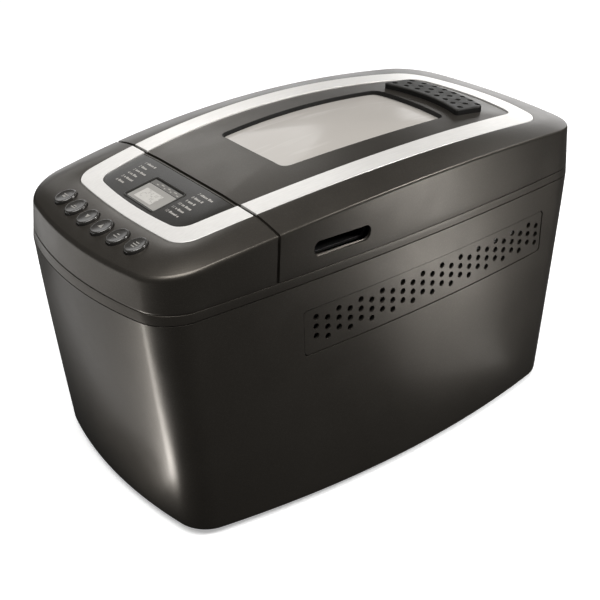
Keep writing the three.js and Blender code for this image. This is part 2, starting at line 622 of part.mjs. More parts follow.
function liner() {
  const rim = outline(BELT_LINE, WALL + 3.4);
  const flange = loft([raise(rim, (x) => lidZ(x, 1)), raise(rim, (x) => lidZ(x, 3))])
    .intersect(box(LID_LEFT + WALL + 1, FAR, -FAR, 85.5, 0, 300));
  const c = CHAMBER;
  const tray = (grow, top) => {
    const y = c.halfWidth + grow;
    const points = ringOf(roundedShape(c.x0 - grow, c.x1 + grow, -y, y, c.corner + grow), 4);
    return loft([raise(points, (x) => lidZ(x, 0.5)), raise(points, (x) => lidZ(x, top))]);
  };
  const w = { x0: -50, x1: 92, y: 36 };
  const windowHole = roundedBox(w.x0, w.x1, -w.y, w.y, 190, 260, 6);
  const vents = [];
  for (let i = 0; i < 4; i++) {
    vents.push(roundedBox(112, 142, -35 + i * 20, -25 + i * 20, 190, 260, 4.9, 1));
  }
  const trayTop = tray(0, TRAY).intersect(aboveLid(1));
  const part = cut(flange.add(trayTop), tray(-1.5, TRAY - 1.5), windowHole, ...vents);
  add("lid_liner", part, "steel");
  const pane = ringOf(roundedShape(w.x0 - 5, w.x1 + 5, -w.y - 5, w.y + 5, 8), 4);
  const paneAt = (above) => raise(pane, (x) => lidZ(x, TRAY + above));
  add("liner_window", loft([paneAt(GAP), paneAt(3.3)]), "glass");
}

function hingePins() {
  HINGE.xs.forEach((x, i) => {
    add(`hinge_pin_${i + 1}`, rod("x", HINGE.pin, 21, [x, HINGE.y, HINGE.z], 12), "steel");
  });
}

// ---------------------------------------------------------------- baking chamber
function chamber() {
  const c = CHAMBER;
  const y = c.halfWidth;
  const body = roundedBox(
    c.x0 - c.sheet, c.x1 + c.sheet, -y - c.sheet, y + c.sheet, c.floor, c.top, c.corner + c.sheet,
  );
  const flange = roundedBox(c.x0 - 7, c.x1 + 7, -y - 7, y + 7, c.top - 1.5, c.top, c.corner + 7);
  const space = roundedBox(c.x0, c.x1, -y, y, c.floor + c.sheet, c.top + 5, c.corner);
  const holes = [
    disc(DRIVE.shaft + 1, 50, 70, PAN.x, 0, 12),
    ...[-1, 1].map((s) => rod("x", HEATER.tube + 0.8, 20, [c.x0, s * HEATER.exit, HEATER.z], 12)),
    rod("x", 3.6, 20, [c.x0, 0, 122], 12),
  ];
  add("baking_chamber", cut(body.add(flange), space, ...holes), "steel");
}

// The heater's centreline: in through the left wall, round the chamber and out again.
function heaterPath() {
  const c = CHAMBER;
  const x0 = c.x0 + HEATER.margin;
  const x1 = c.x1 - HEATER.margin;
  const y = c.halfWidth - HEATER.margin;
  const r = HEATER.corner;
  const e = HEATER.exit;
  const small = 6;
  const points = [];
  const arc = (cx, cy, radius, a0, a1, n) => {
    for (let i = 0; i <= n; i++) {
      const a = lerp(a0, a1, i / n);
      points.push(new THREE.Vector3(cx + radius * Math.cos(a), cy + radius * Math.sin(a), HEATER.z));
    }
  };
  const q = Math.PI / 2;
  points.push(new THREE.Vector3(c.x0 - 14, -e, HEATER.z));
  arc(x0 - small, -e - small, small, q, 0, 4);
  arc(x0 + r, -y + r, r, 2 * q, 3 * q, 5);
  arc(x1 - r, -y + r, r, 3 * q, 4 * q, 5);
  arc(x1 - r, y - r, r, 0, q, 5);
  arc(x0 + r, y - r, r, q, 2 * q, 5);
  arc(x0 - small, e + small, small, 0, -q, 4);
  points.push(new THREE.Vector3(c.x0 - 14, e, HEATER.z));
  const path = new THREE.CurvePath();
  for (let i = 1; i < points.length; i++) {
    if (points[i].distanceTo(points[i - 1]) > 1e-3) {
      path.add(new THREE.LineCurve3(points[i - 1], points[i]));
    }
  }
  return path;
}

// A round tube along a path of straight runs, with mitred joints.
function tube(path, radius, sides = 8) {
  const corners = [path.curves[0].v1, ...path.curves.map((c) => c.v2)];
  const rings = corners.map((p, i) => {
    const before = i > 0 ? p.clone().sub(corners[i - 1]).normalize() : null;
    const after = i < corners.length - 1 ? corners[i + 1].clone().sub(p).normalize() : null;
    const tangent = (before ?? after).clone().add(after ?? before).normalize();
    const up = new THREE.Vector3(0, 0, 1);
    const across = up.clone().cross(tangent).normalize();
    const stretch = before && after ? 1 / Math.cos(before.angleTo(after) / 2) : 1;
    const ring = [];
    for (let k = 0; k < sides; k++) {
      const a = 2 * Math.PI * k / sides;
      const v = across.clone().multiplyScalar(radius * stretch * Math.cos(a));
      ring.push(v.addScaledVector(up, radius * Math.sin(a)).add(p).toArray());
    }
    return ring;
  });
  return loft(rings);
}

function heater() {
  const element = tube(heaterPath(), HEATER.tube);
  add("heating_element", element, "black");
  const floor = CHAMBER.floor + CHAMBER.sheet + 0.3;
  const y = CHAMBER.halfWidth - HEATER.margin;
  [-1, 1].forEach((s, i) => {
    const post = box(PAN.x - 5, PAN.x + 5, s * y - 1.2, s * y + 1.2, floor, HEATER.z - HEATER.tube - 0.4);
    const foot = box(PAN.x - 8, PAN.x + 8, s * y - 4, s * y + 4, floor, floor + 1.2);
    add(`heater_support_${i + 1}`, post.add(foot), "steel");
  });
  const probe = rod("x", 3, 24, [CHAMBER.x0, 0, 122], 12).add(rod("x", 6, 3, [CHAMBER.x0 - 4, 0, 122], 12));
  add("temperature_probe", probe, "steel");
  const shield = roundedBox(-98, -96.5, -70, 70, 66, 172, 0.6, 1);
  add("heat_shield", shield, "steel");
}

// ---------------------------------------------------------------- bread pan
function panRing(z, grow) {
  const t = (z - PAN.floor) / (PAN.rim - PAN.floor);
  const dx = PAN.halfLength - PAN.draft * (1 - t) + grow;
  const dy = PAN.halfWidth - PAN.draft * (1 - t) + grow;
  const shape = roundedShape(PAN.x - dx, PAN.x + dx, -dy, dy, PAN.corner + grow);
  return flat(ringOf(shape, 5), z);
}

function breadPan() {
  const { floor, rim, sheet } = PAN;
  const outer = loft([panRing(floor, -3), panRing(floor + 3, 0), panRing(rim, 0)]);
  const lip = loft([panRing(rim - 3, 2.6), panRing(rim, 2.6)]);
  const inner = loft([
    panRing(floor + sheet, -sheet - 2.5), panRing(floor + sheet + 3, -sheet), panRing(rim + 4, -sheet),
  ]);
  const shell = cut(outer.add(lip), inner, disc(9, 70, 100, PAN.x, 0, 16));
  add("bread_pan", shell, "nonstick");

  const ring = disc(38, CHAMBER.floor + CHAMBER.sheet + 0.5, floor - 0.3, PAN.x, 0, 24);
  add("pan_base_ring", ring.subtract(disc(34, 50, 100, PAN.x, 0, 24)), "steel");
  const bush = turned([[0, 77.5], [8.6, 77.5], [8.6, 94], [6.5, 95.5], [0, 95.5]], PAN.x, 0, 16);
  add("pan_bush", bush.subtract(disc(4.35, 60, 110, PAN.x, 0, 12)), "brass");
  pivotEars();
}

// Ears on the pan's ends that carry the bail, and the bail itself, folded towards the front.
function pivotEars() {
  [-1, 1].forEach((s, i) => {
    const x = PAN.x + s * (PAN.halfLength + 5.2);
    const plate = box(x - 1, x + 1, -6, 6, BAIL.pivotZ - 7, PAN.rim - 3.4);
    const bore = rod("x", BAIL.rod + 0.35, 20, [x, 0, BAIL.pivotZ], 10);
    add(`pan_ear_${i + 1}`, plate.subtract(bore), "steel");
  });
  const out = BAIL.x;
  const r = 12;
  const local = (x, along) =>
    new THREE.Vector3(PAN.x + x, -along * BAIL.reach, BAIL.pivotZ + along * BAIL.lift);
  const run = Math.hypot(BAIL.reach, BAIL.lift);
  const side = (s) => {
    const bend = [];
    for (let i = 0; i <= 4; i++) {
      const a = Math.PI / 2 * i / 4;
      bend.push(local(s * (out - r + r * Math.cos(a)), 1 - (r - r * Math.sin(a)) / run));
    }
    return bend;
  };
  const points = [
    local(-out + 6, 0), local(-out, 0), ...side(-1), ...side(1).reverse(), local(out, 0),
    local(out - 6, 0),
  ];
  add("pan_handle", railAlong(points, BAIL.rod), "steel");
}

// A round rail along points that lie in one plane tilted about X.
function railAlong(points, radius) {
  const normal = new THREE.Vector3(0, BAIL.lift, BAIL.reach).normalize();
  const sides = 8;
  const rings = points.map((p, i) => {
    const before = i > 0 ? p.clone().sub(points[i - 1]).normalize() : null;
    const after = i < points.length - 1 ? points[i + 1].clone().sub(p).normalize() : null;
    const tangent = (before ?? after).clone().add(after ?? before).normalize();
    const across = normal.clone().cross(tangent).normalize();
    const stretch = before && after ? 1 / Math.cos(before.angleTo(after) / 2) : 1;
    const ring = [];
    for (let k = 0; k < sides; k++) {
      const a = 2 * Math.PI * k / sides;
      const v = across.clone().multiplyScalar(radius * stretch * Math.cos(a));
      ring.push(v.addScaledVector(normal, radius * Math.sin(a)).add(p).toArray());
    }
    return ring;
  });
  return loft(rings);
}

// ---------------------------------------------------------------- drive
function spindle() {
  const x = PAN.x;
  add("pan_shaft", disc(DRIVE.shaft, 70, 114, x, 0, 12), "steel");
  const wings = box(x - 14, x + 14, -3.5, 3.5, 69.5, 76.5).add(disc(7.5, 69.5, 76.5, x, 0, 16));
  add("pan_coupling", wings.subtract(disc(4.35, 60, 80, x, 0, 12)), "steel");
  const hub = turned([[0, 96.2], [10, 96.2], [8.5, 118], [6, 121], [0, 121]], x, 0, 16);
  const blade = new THREE.Shape();
  blade.moveTo(4, 97);
  blade.lineTo(44, 97);
  blade.quadraticCurveTo(48, 108, 36, 122);
  blade.quadraticCurveTo(20, 132, 4, 118);
  const slab = extruded(blade, 6, 5);
  slab.rotateX(Math.PI / 2);
  const wing = solid(slab, shift(x, 3, 0));
  add("kneading_paddle", hub.add(wing).subtract(disc(4.35, 90, 116, x, 0, 12)), "nonstick");

  const dogs = [-1, 1].map((s) => box(x - 4, x + 4, s * 11 - 2.5, s * 11 + 2.5, 67, 75));
  const driver = union([disc(16, 64.5, 68, x, 0, 20), ...dogs]);
  add("drive_coupling", driver.subtract(disc(4.35, 60, 80, x, 0, 12)), "steel");
  add("drive_shaft", disc(DRIVE.shaft, 22, 69, x, 0, 12), "steel");
  const { pulley, z0, z1 } = DRIVE;
  const rim = turned([
    [0, z0], [pulley + 2, z0], [pulley + 2, z0 + 1.5], [pulley, z0 + 1.5], [pulley, z1 - 1.5],
    [pulley + 2, z1 - 1.5], [pulley + 2, z1], [0, z1],
  ], x, 0, 32);
  const web = [[32, 40], [20, 28]].map(([low, high]) =>
    disc(pulley - 5, low, high, x, 0, 24).subtract(disc(10, 10, 50, x, 0, 16)));
  add("drive_pulley", cut(rim, ...web, disc(4.35, 10, 50, x, 0, 12)), "black");
  const bracket = roundedBox(x - 36, x + 36, -26, 26, 58.6, 61.6, 5, 2).add(disc(11, 40, 59, x, 0, 16));
  add("bearing_bracket", bracket.subtract(disc(4.35, 30, 70, x, 0, 12)), "steel");
}

// An open belt round both pulleys, as the outer loop less the inner one.
function belt() {
  const { pulley, z0, z1 } = DRIVE;
  const loop = (grow) => {
    const big = pulley + 0.4 + grow;
    const small = MOTOR.pulley + 0.4 + grow;
    const span = PAN.x - MOTOR.x;
    const lean = Math.acos((big - small) / span);
    const points = [];
    const arc = (cx, r, a0, a1, n) => {
      for (let i = 0; i <= n; i++) {
        const a = lerp(a0, a1, i / n);
        points.push([cx + r * Math.cos(a), r * Math.sin(a)]);
      }
    };
    arc(PAN.x, big, -(Math.PI - lean), Math.PI - lean, 18);
    arc(MOTOR.x, small, Math.PI - lean, Math.PI + lean, 8);
    return points;
  };
  const width = [z0 + 2, z1 - 2];
  const outer = loft(width.map((z) => flat(loop(1.8), z)));
  const inner = loft([width[0] - 1, width[1] + 1].map((z) => flat(loop(0), z)));
  add("drive_belt", outer.subtract(inner), "rubber");
}

function motorGroup() {
  const { x, radius, z0, z1, shaft, pulley } = MOTOR;
  const can = turned([
    [0, z0], [radius - 3, z0], [radius, z0 + 3], [radius, z1 - 4], [radius - 4, z1], [12, z1],
    [12, z1 + 5], [0, z1 + 5],
  ], x, 0, 24);
  add("motor", can.subtract(disc(shaft + 0.4, 50, z0 + 20, x, 0, 10)), "steel");
  add("motor_shaft", disc(shaft, 22, z0 + 18, x, 0, 12), "steel");
  const d = DRIVE;
  const wheel = turned([
    [0, d.z0], [pulley + 2, d.z0], [pulley + 2, d.z0 + 1.5], [pulley, d.z0 + 1.5], [pulley, d.z1 - 1.5],
    [pulley + 2, d.z1 - 1.5], [pulley + 2, d.z1], [0, d.z1],
  ], x, 0, 16);
  add("motor_pulley", wheel.subtract(disc(shaft + 0.35, 10, 50, x, 0, 12)), "black");
  const plate = roundedBox(x - 42, x + 40, -44, 44, 56, 59.6, 6, 2);
  const posts = [[-36, -38], [34, -38], [-36, 38], [34, 38]].map(([dx, dy]) =>
    disc(4, 8.8, 57, x + dx, dy, 10));
  add("motor_bracket", cut(union([plate, ...posts]), disc(14, 50, 70, x, 0, 16)), "steel");
  add("run_capacitor", disc(14, 8.8, 52, -112, 68, 16), "black");
  const board = box(-172, -104, -71, -69.4, 64, 118);
  const blocks = [
    box(-165, -143, -69.8, -52, 72, 92), box(-135, -117, -69.8, -55, 74, 88),
    box(-132, -120, -69.8, -58, 96, 108),
  ];
  add("power_board", union([board, ...blocks]), "board");
}

// ---------------------------------------------------------------- assembly
const outer = upperBody(0, GAP / 2, [0.04, 0.2, 0.55]);
const inner = upperBody(WALL, -4, []);
lowerHousing();
base();
upperHousing(outer, inner);
panel();
buttons();
lid(outer, inner);
hingePins();
chamber();
heater();
breadPan();
spindle();
belt();
motorGroup();

export default group;
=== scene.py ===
# Looks of a countertop bread machine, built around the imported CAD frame.
# Shapes are worked out in millimetres and written to Blender in metres.
import math

import bpy
import numpy as np
from mathutils import Matrix, Vector
from mathutils.bvhtree import BVHTree

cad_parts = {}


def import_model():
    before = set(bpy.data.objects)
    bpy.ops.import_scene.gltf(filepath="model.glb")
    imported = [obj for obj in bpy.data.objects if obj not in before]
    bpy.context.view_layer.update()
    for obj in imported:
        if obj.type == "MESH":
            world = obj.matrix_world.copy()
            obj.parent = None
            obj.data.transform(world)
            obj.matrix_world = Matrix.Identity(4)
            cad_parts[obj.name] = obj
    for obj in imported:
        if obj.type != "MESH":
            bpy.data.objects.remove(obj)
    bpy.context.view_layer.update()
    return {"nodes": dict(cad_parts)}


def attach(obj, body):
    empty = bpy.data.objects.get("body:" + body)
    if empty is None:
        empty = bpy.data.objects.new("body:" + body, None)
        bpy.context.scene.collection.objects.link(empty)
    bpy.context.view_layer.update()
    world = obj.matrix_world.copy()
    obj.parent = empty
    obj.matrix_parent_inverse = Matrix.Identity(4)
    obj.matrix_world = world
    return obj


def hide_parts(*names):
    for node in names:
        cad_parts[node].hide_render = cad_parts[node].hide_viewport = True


MM = 0.001
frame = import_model()

# ------------------------------------------------------------------ driving dimensions
WALL, GAP, FLOOR_Z = 2.5, 0.35, 5.0
FOOTPRINT = dict(left=(-152.3, 73, 26.7), right=(152.3, 73, 26.7), side=14.4, ends=(8, 8))
BELT_LINE = dict(left=(-165, 65.8, 31), right=(165, 65.8, 31), side=6, ends=(9, 9))
CREASE = dict(left=(-155.5, 59.4, 39), right=(155.5, 59.4, 39), side=8.8, ends=(5.5, 5.5))
TRIM_OUTER = dict(left=(-143.5, 54.5, 17.5), right=(145, 48, 28), side=10, ends=(2.5, 9))
TRIM_INNER = dict(left=(-137.5, 42, 13), right=(145, 42, 13), side=11, ends=(2.5, 5.5))
WINDOW = dict(left=(-49.5, 33.3, 7), right=(90, 33.3, 7), side=3, ends=(0.5, 3))
WINDOW_DEPTH = 1.6
SEAM_Z, SEAM_SLOPE, RIM_HEIGHT, LID_LEFT = 179.0, 0.021, 7.2, -107.2
VENT = dict(x0=-87, x1=151.5, rear_x1=-3, z=141, height=34, slope=0.0197, corner=3, opening=0.45,
            plate=-0.15, sunk=0.5)
HOLES = dict(columns=24, rear=8, rows=3, first=-77, dx=9.66, dz=7.2, radius=2.35, z=143.6)
BUTTONS = dict(count=6, pitch=19.1, x=-182, bow=3.5, half_x=8.2, half_y=7, slope=0.25)
DISPLAY = dict(x=-135.7, y=0, size_x=26.5, size_y=38, corner=2, slope=0.18)
FINGER = dict(x=-56, z=202, width=45, height=9.5, depth=14)
GRILLE = dict(x0=105.5, x1=135, half_width=42, bow=8, proud=2.6, hole=2.4, level=11)
HINGE = dict(y=93.5, z=195, xs=(-70, 95), pin=2, lug=3.8, ear=8, ear_radius=4, lug_width=6, notch=12.5)
CREASE_CURVE = dict(top=230, drop=16.6, x=50)
DOME_CURVE = dict(top=227, drop=17.2, x=38, level_drop=0.5, level_x=20)
SPAN = 200
DOME_EDGE, DOME_MIDDLE, DOME_AT_BAND = 7.6, 10, 7.8
CHAMBER = dict(x0=-80, x1=160, half_width=82, corner=16)
CORD_ENTRY = dict(x=-128, z=42, width=22, height=14)
PAN = dict(x=40, half_x=98, half_y=69, floor=86, rim=181, draft=5, sheet=1.8, corner=22, hole=9)
PAN_RIM = ((0.9, 3.1), (1.9, 2.6), (2.5, 1.8), (2.6, 1.2), (2.3, 0.5), (1.4, 0.1), (0.4, 0), (-0.8, 0.3),
           (-1.6, 1.1))
BAIL = dict(x=107, z=174, reach=62, lift=10.5, rod=2.5, bend=12, foot=2.7)
PADDLE_HUB = ((9.6, 96.2), (10, 96.7), (9.4, 106), (8.6, 117), (8.2, 118.6), (7.2, 120.2),
              (5.8, 121))
FASCIA, FAR, BELOW_ALL, ABOVE_ALL = 1.1, 260, -10, 300
REAR_EDGE, BAND_END, FASCIA_END = 86.5, 1.3, 2.6
LISTS = dict(x=-117.5, pitch=5.0, size=3.4, columns=((46.0, 1, 0.45), (-23.5, 7, 0.0)))
DOME_CENTRE = 20
BAND_LEVELS = (8.1, 8.7)
BAND_PROFILE = ((0.0, 0.38), (0.006, 0.14), (0.02, 0.03), (0.06, -0.02), (0.25, -0.02), (0.5, -0.02),
                (0.75, -0.02), (0.94, -0.02), (0.98, 0.03), (0.994, 0.14), (1.0, 0.38))
CUTTER_RISE = 6
GRILLE_TOP = ((-0.4, 1.1), (0, 1.1), (0, 0.8), (-0.15, 0.4), (-0.45, 0.12), (-0.95, 0), (-2.5, 0),
              (-6, 0), (-11, 0))
BUTTON_HOLE = ((1, 0.45, -8), (1, 0.45, -0.5), (1, 0.75, 0.3), (1, 0.9, 8))
BUTTON_CAP = ((0.62, 0, -11), (0.62, 0, -9.4), (1, 1.2, -9.4), (1, 1.2, -8), (1, 0, -8), (1, 0, 0.9),
              (0.993, 0, 1.3), (0.97, 0, 1.66), (0.93, 0, 1.9), (0.88, 0, 1.98), (0.81, 0, 1.9),
              (0.7, 0, 1.76), (0.5, 0, 1.64), (0.25, 0, 1.58), (0.04, 0, 1.56))
LID_GROOVE = ((6.95, 0), (7.02, 0.4), (7.3, 0.4), (8.05, 0))
DOME_SHARES = (1, 0.985, 0.96, 0.93, 0.89, 0.85, 0.8, 0.75, 0.7, 0.64, 0.58, 0.51, 0.44, 0.36, 0.28, 0.2,
               0.12, 0.05)


# ------------------------------------------------------------------ outlines and heights
def outline(shape, inset=0.0, side=64, end=36, corner=14):
    """Points of a rounded rectangle with bowed sides, anticlockwise from the front left."""
    left, right = shape["left"], shape["right"]
    rl, rr = left[2] - inset, right[2] - inset
    spots = [((left[0], -left[1]), rl), ((right[0], -right[1]), rr),
             ((right[0], right[1]), rr), ((left[0], left[1]), rl)]
    bows = [shape["side"], shape["ends"][1], shape["side"], shape["ends"][0]]
    runs = []
    for i, steps in enumerate((side, end, side, end)):
        p, r0 = np.array(spots[i][0], float), spots[i][1]
        q, r1 = np.array(spots[(i + 1) % 4][0], float), spots[(i + 1) % 4][1]
        bow, chord = bows[i], np.linalg.norm(q - p)
        radius = (chord * chord / 4 + bow * bow) / (2 * bow)
        along = (q - p) / chord
        out = np.array([along[1], -along[0]])
        centre = (p + q) / 2 + out * (bow - radius)
        t = np.linspace(0, 1, steps + 1)
        angle = np.arcsin(chord / 2 / radius) * (2 * t - 1)
        normals = np.outer(np.cos(angle), out) + np.outer(np.sin(angle), along)
        runs.append((centre + normals * (radius + r0 + (r1 - r0) * t)[:, None], normals))
    points = []
    for i in range(4):
        points.append(runs[i][0])
        (cx, cy), r = spots[(i + 1) % 4]
        n0, n1 = runs[i][1][-1], runs[(i + 1) % 4][1][0]
        a0 = np.arctan2(n0[1], n0[0])
        turn = (np.arctan2(n1[1], n1[0]) - a0) % (2 * np.pi)
        a = a0 + turn * np.arange(1, corner) / corner
        points.append(np.c_[cx + r * np.cos(a), cy + r * np.sin(a)])
    return np.vstack(points)


def lerp(a, b, t):
    return a + (b - a) * t


def fallen(x, centre):
    return ((x - centre) / SPAN) ** 2


def crease_z(x):
    return CREASE_CURVE["top"] - CREASE_CURVE["drop"] * fallen(x, CREASE_CURVE["x"])


def seam_z(x, above=0.0):
    return SEAM_Z + above + SEAM_SLOPE * x


def lid_z(x, above=0.0):
    return seam_z(x, RIM_HEIGHT + above)


def dome_z(x, level):
    """Height of the dome's surfaces: a level of 0 is its base curve, and higher ones lie above it."""
    d = DOME_CURVE
    base = d["top"] - d["drop"] * fallen(x, d["x"])
    return base + level * (1 - d["level_drop"] * fallen(x, d["level_x"]))


def raised(points, height):
    return np.c_[points, height(points[:, 0])]


def flat(points, z):
    return np.c_[points, np.full(len(points), float(z))]


def scaled(points, s):
    return np.c_[DOME_CENTRE + (points[:, 0] - DOME_CENTRE) * s, points[:, 1] * s]


def wall_outline(z, inset=0.0):
    t = min(1.0, max(0.0, (z - FLOOR_Z) / (SEAM_Z - FLOOR_Z)))
    return lerp(outline(BELT_LINE, inset), outline(FOOTPRINT, inset), (1 - t) ** 1.18)


# ------------------------------------------------------------------ meshes
def loft(rings, closed=False, fan=True):
    """Vertices and faces of a skin over rings of equal length, stacked upwards."""
    n, count = len(rings[0]), len(rings)
    verts = [tuple(p) for ring in rings for p in ring]
    faces = []
    for i in range(count if closed else count - 1):
        a, b = i * n, ((i + 1) % count) * n
        for j in range(n):
            k = (j + 1) % n
            faces.append((a + j, a + k, b + k, b + j))
    if not closed:
        for start, flip in ((0, True), ((count - 1) * n, False)):
            if fan:
                verts.append(tuple(np.mean(np.array(verts[start:start + n]), axis=0)))
                c = len(verts) - 1
                for j in range(n):
                    k = (j + 1) % n
                    faces.append((c, start + k, start + j) if flip else (c, start + j, start + k))
            else:
                ring = list(range(start, start + n))
                faces.append(tuple(reversed(ring)) if flip else tuple(ring))
    return verts, faces


def new_object(name, verts, faces):
    mesh = bpy.data.meshes.new(name)
    mesh.from_pydata([(x * MM, y * MM, z * MM) for x, y, z in verts], [], faces)
    mesh.validate()
    mesh.update()
    obj = bpy.data.objects.new(name, mesh)
    bpy.context.scene.collection.objects.link(obj)
    return obj


def solid(verts_faces, name="tool"):
    return new_object(name, *verts_faces)


def turns(count):
    """Cosine and sine at equal steps round a full turn."""
    return [(math.cos(a), math.sin(a)) for a in (2 * math.pi * j / count for j in range(count))]


def quarter(steps):
    """Sine and cosine at equal steps over a quarter turn, both ends included."""
    return [(math.sin(a), math.cos(a)) for a in (math.pi / 2 * k / steps for k in range(steps + 1))]


def box_about(x, y, size_x, size_y, grow=0.0):
    """Low and high ends, along each axis, of a box about a point."""
    return x - size_x / 2 - grow, x + size_x / 2 + grow, y - size_y / 2 - grow, y + size_y / 2 + grow


def upright(ring, y):
    return [(x, y, z) for x, z in ring]


def prism(ring, z0, z1):
    return solid(loft([[(*p, z) for p in ring] for z in (z0, z1)], fan=False))


def block(x0, x1, y0, y1, z0, z1):
    return prism([(x0, y0), (x1, y0), (x1, y1), (x0, y1)], z0, z1)


def sloped_block(x0, x1, y0, y1, lower, upper):
    ring = [(x0, y0), (x1, y0), (x1, y1), (x0, y1)]
    rings = [[(x, y, h(x)) for x, y in ring] for h in (lower, upper)]
    return solid(loft(rings, fan=False))


def cylinder(axis, radius, length, at, segments=24):
    """A cylinder about X, Y or Z, centred on a point."""
    rings = []
    for w in (-length / 2, length / 2):
        ring = []
        for c, s in turns(segments):
            u, v = radius * c, radius * s
            local = {"z": (u, v, w), "x": (w, u, v), "y": (v, w, u)}[axis]
            ring.append(tuple(a + b for a, b in zip(local, at)))
        rings.append(ring)
    return solid(loft(rings, fan=False))


def rounded_ring(x0, x1, y0, y1, r, steps=8):
    ring = []
    corners = ((x1 - r, y0 + r, -90), (x1 - r, y1 - r, 0), (x0 + r, y1 - r, 90), (x0 + r, y0 + r, 180))
    for cx, cy, start in corners:
        for k in range(steps + 1):
            a = math.radians(start + 90 * k / steps)
            ring.append((cx + r * math.cos(a), cy + r * math.sin(a)))
    return ring


def rounded_block(x0, x1, y0, y1, z0, z1, r):
    return prism(rounded_ring(x0, x1, y0, y1, r), z0, z1)


def upright_plate(x0, x1, z0, z1, y0, y1, r, slope=0.0, steps=8):
    """A rounded plate in the XZ plane that runs from y0 to y1, sheared up along X."""
    ring = rounded_ring(x0, x1, z0, z1, r, steps)
    rings = [[(x, y, z + slope * x) for x, z in ring] for y in (y1, y0)]
    return solid(loft(rings, fan=False))


def applied(obj):
    graph = bpy.context.evaluated_depsgraph_get()
    mesh = bpy.data.meshes.new_from_object(obj.evaluated_get(graph))
    obj.modifiers.clear()
    obj.data = mesh
    return obj


def boolean(obj, tools, operation):
    for tool in tools:
        mod = obj.modifiers.new("bool", "BOOLEAN")
        mod.operation, mod.solver, mod.object = operation, "MANIFOLD", tool
        applied(obj)
        bpy.data.objects.remove(tool)
    return obj


def cut(obj, *tools):
    return boolean(obj, tools, "DIFFERENCE")


def keep(obj, *tools):
    return boolean(obj, tools, "INTERSECT")


def join(obj, *tools):
    return boolean(obj, tools, "UNION")


def merged(tools):
    """Several separate tools as one mesh, so that one boolean handles them all."""
    verts, faces = [], []
    for tool in tools:
        base = len(verts)
        verts += [tuple(v.co / MM) for v in tool.data.vertices]
        faces += [tuple(base + i for i in p.vertices) for p in tool.data.polygons]
        bpy.data.objects.remove(tool)
    return new_object("tools", verts, faces)


def joint_groove(half_width=1.15, depth=2.0):
    """The visible joint across the top between the control panel and the lid."""
    tool = block(LID_LEFT - half_width, LID_LEFT + half_width, -FAR, FAR, lid_z(LID_LEFT, 0.2), 300)
    return cut(tool, solid(loft(upper_rings(depth, -8, True))))


class Guide:
    """The smooth surface that a cut piece came from, used to give it clean normals."""

    def __init__(self, verts, faces):
        v = np.array(verts, float) * MM
        tris = []
        for f in faces:
            tris += [(f[0], f[i], f[i + 1]) for i in range(1, len(f) - 1)]
        self.tris = np.array(tris)
        a, b, c = v[self.tris[:, 0]], v[self.tris[:, 1]], v[self.tris[:, 2]]
        n = np.cross(b - a, c - a)
        normals = np.zeros_like(v)
        for k in range(3):
            np.add.at(normals, self.tris[:, k], n)
        self.normals = normals / np.maximum(np.linalg.norm(normals, axis=1), 1e-20)[:, None]
        self.verts = v
        self.tree = BVHTree.FromPolygons([tuple(p) for p in v], [tuple(int(i) for i in t) for t in tris])

    def at(self, point, reach=3e-5):
        spot, _, index, _ = self.tree.find_nearest(point, reach)
        if index is None:
            return None
        t = self.tris[index]
        a, b, c = self.verts[t]
        p = np.array(spot)
        v0, v1, v2 = b - a, c - a, p - a
        d00, d01, d11, d20, d21 = v0 @ v0, v0 @ v1, v1 @ v1, v2 @ v0, v2 @ v1
        den = d00 * d11 - d01 * d01
        if abs(den) < 1e-24:
            return Vector(self.normals[t[0]])
        v = (d11 * d20 - d01 * d21) / den
        w = (d00 * d21 - d01 * d20) / den
        n = self.normals[t[0]] * (1 - v - w) + self.normals[t[1]] * v + self.normals[t[2]] * w
        return Vector(n).normalized()


def smooth(obj, guide=None, angle=32, agree=38):
    """Smooth shading with sharp edges, following the guide's surface where a face lies on it."""
    mesh = obj.data
    mesh.shade_smooth()
    mesh.set_sharp_from_angle(angle=math.radians(angle))
    if guide is None:
        return obj
    known = [guide.at(v.co) for v in mesh.vertices]
    limit = math.cos(math.radians(agree))
    normals = [(0, 0, 0)] * len(mesh.loops)
    for poly in mesh.polygons:
        for i in poly.loop_indices:
            n = known[mesh.loops[i].vertex_index]
            if n is not None and n.dot(poly.normal) > limit:
                normals[i] = tuple(n)
    mesh.normals_split_custom_set(normals)
    return obj


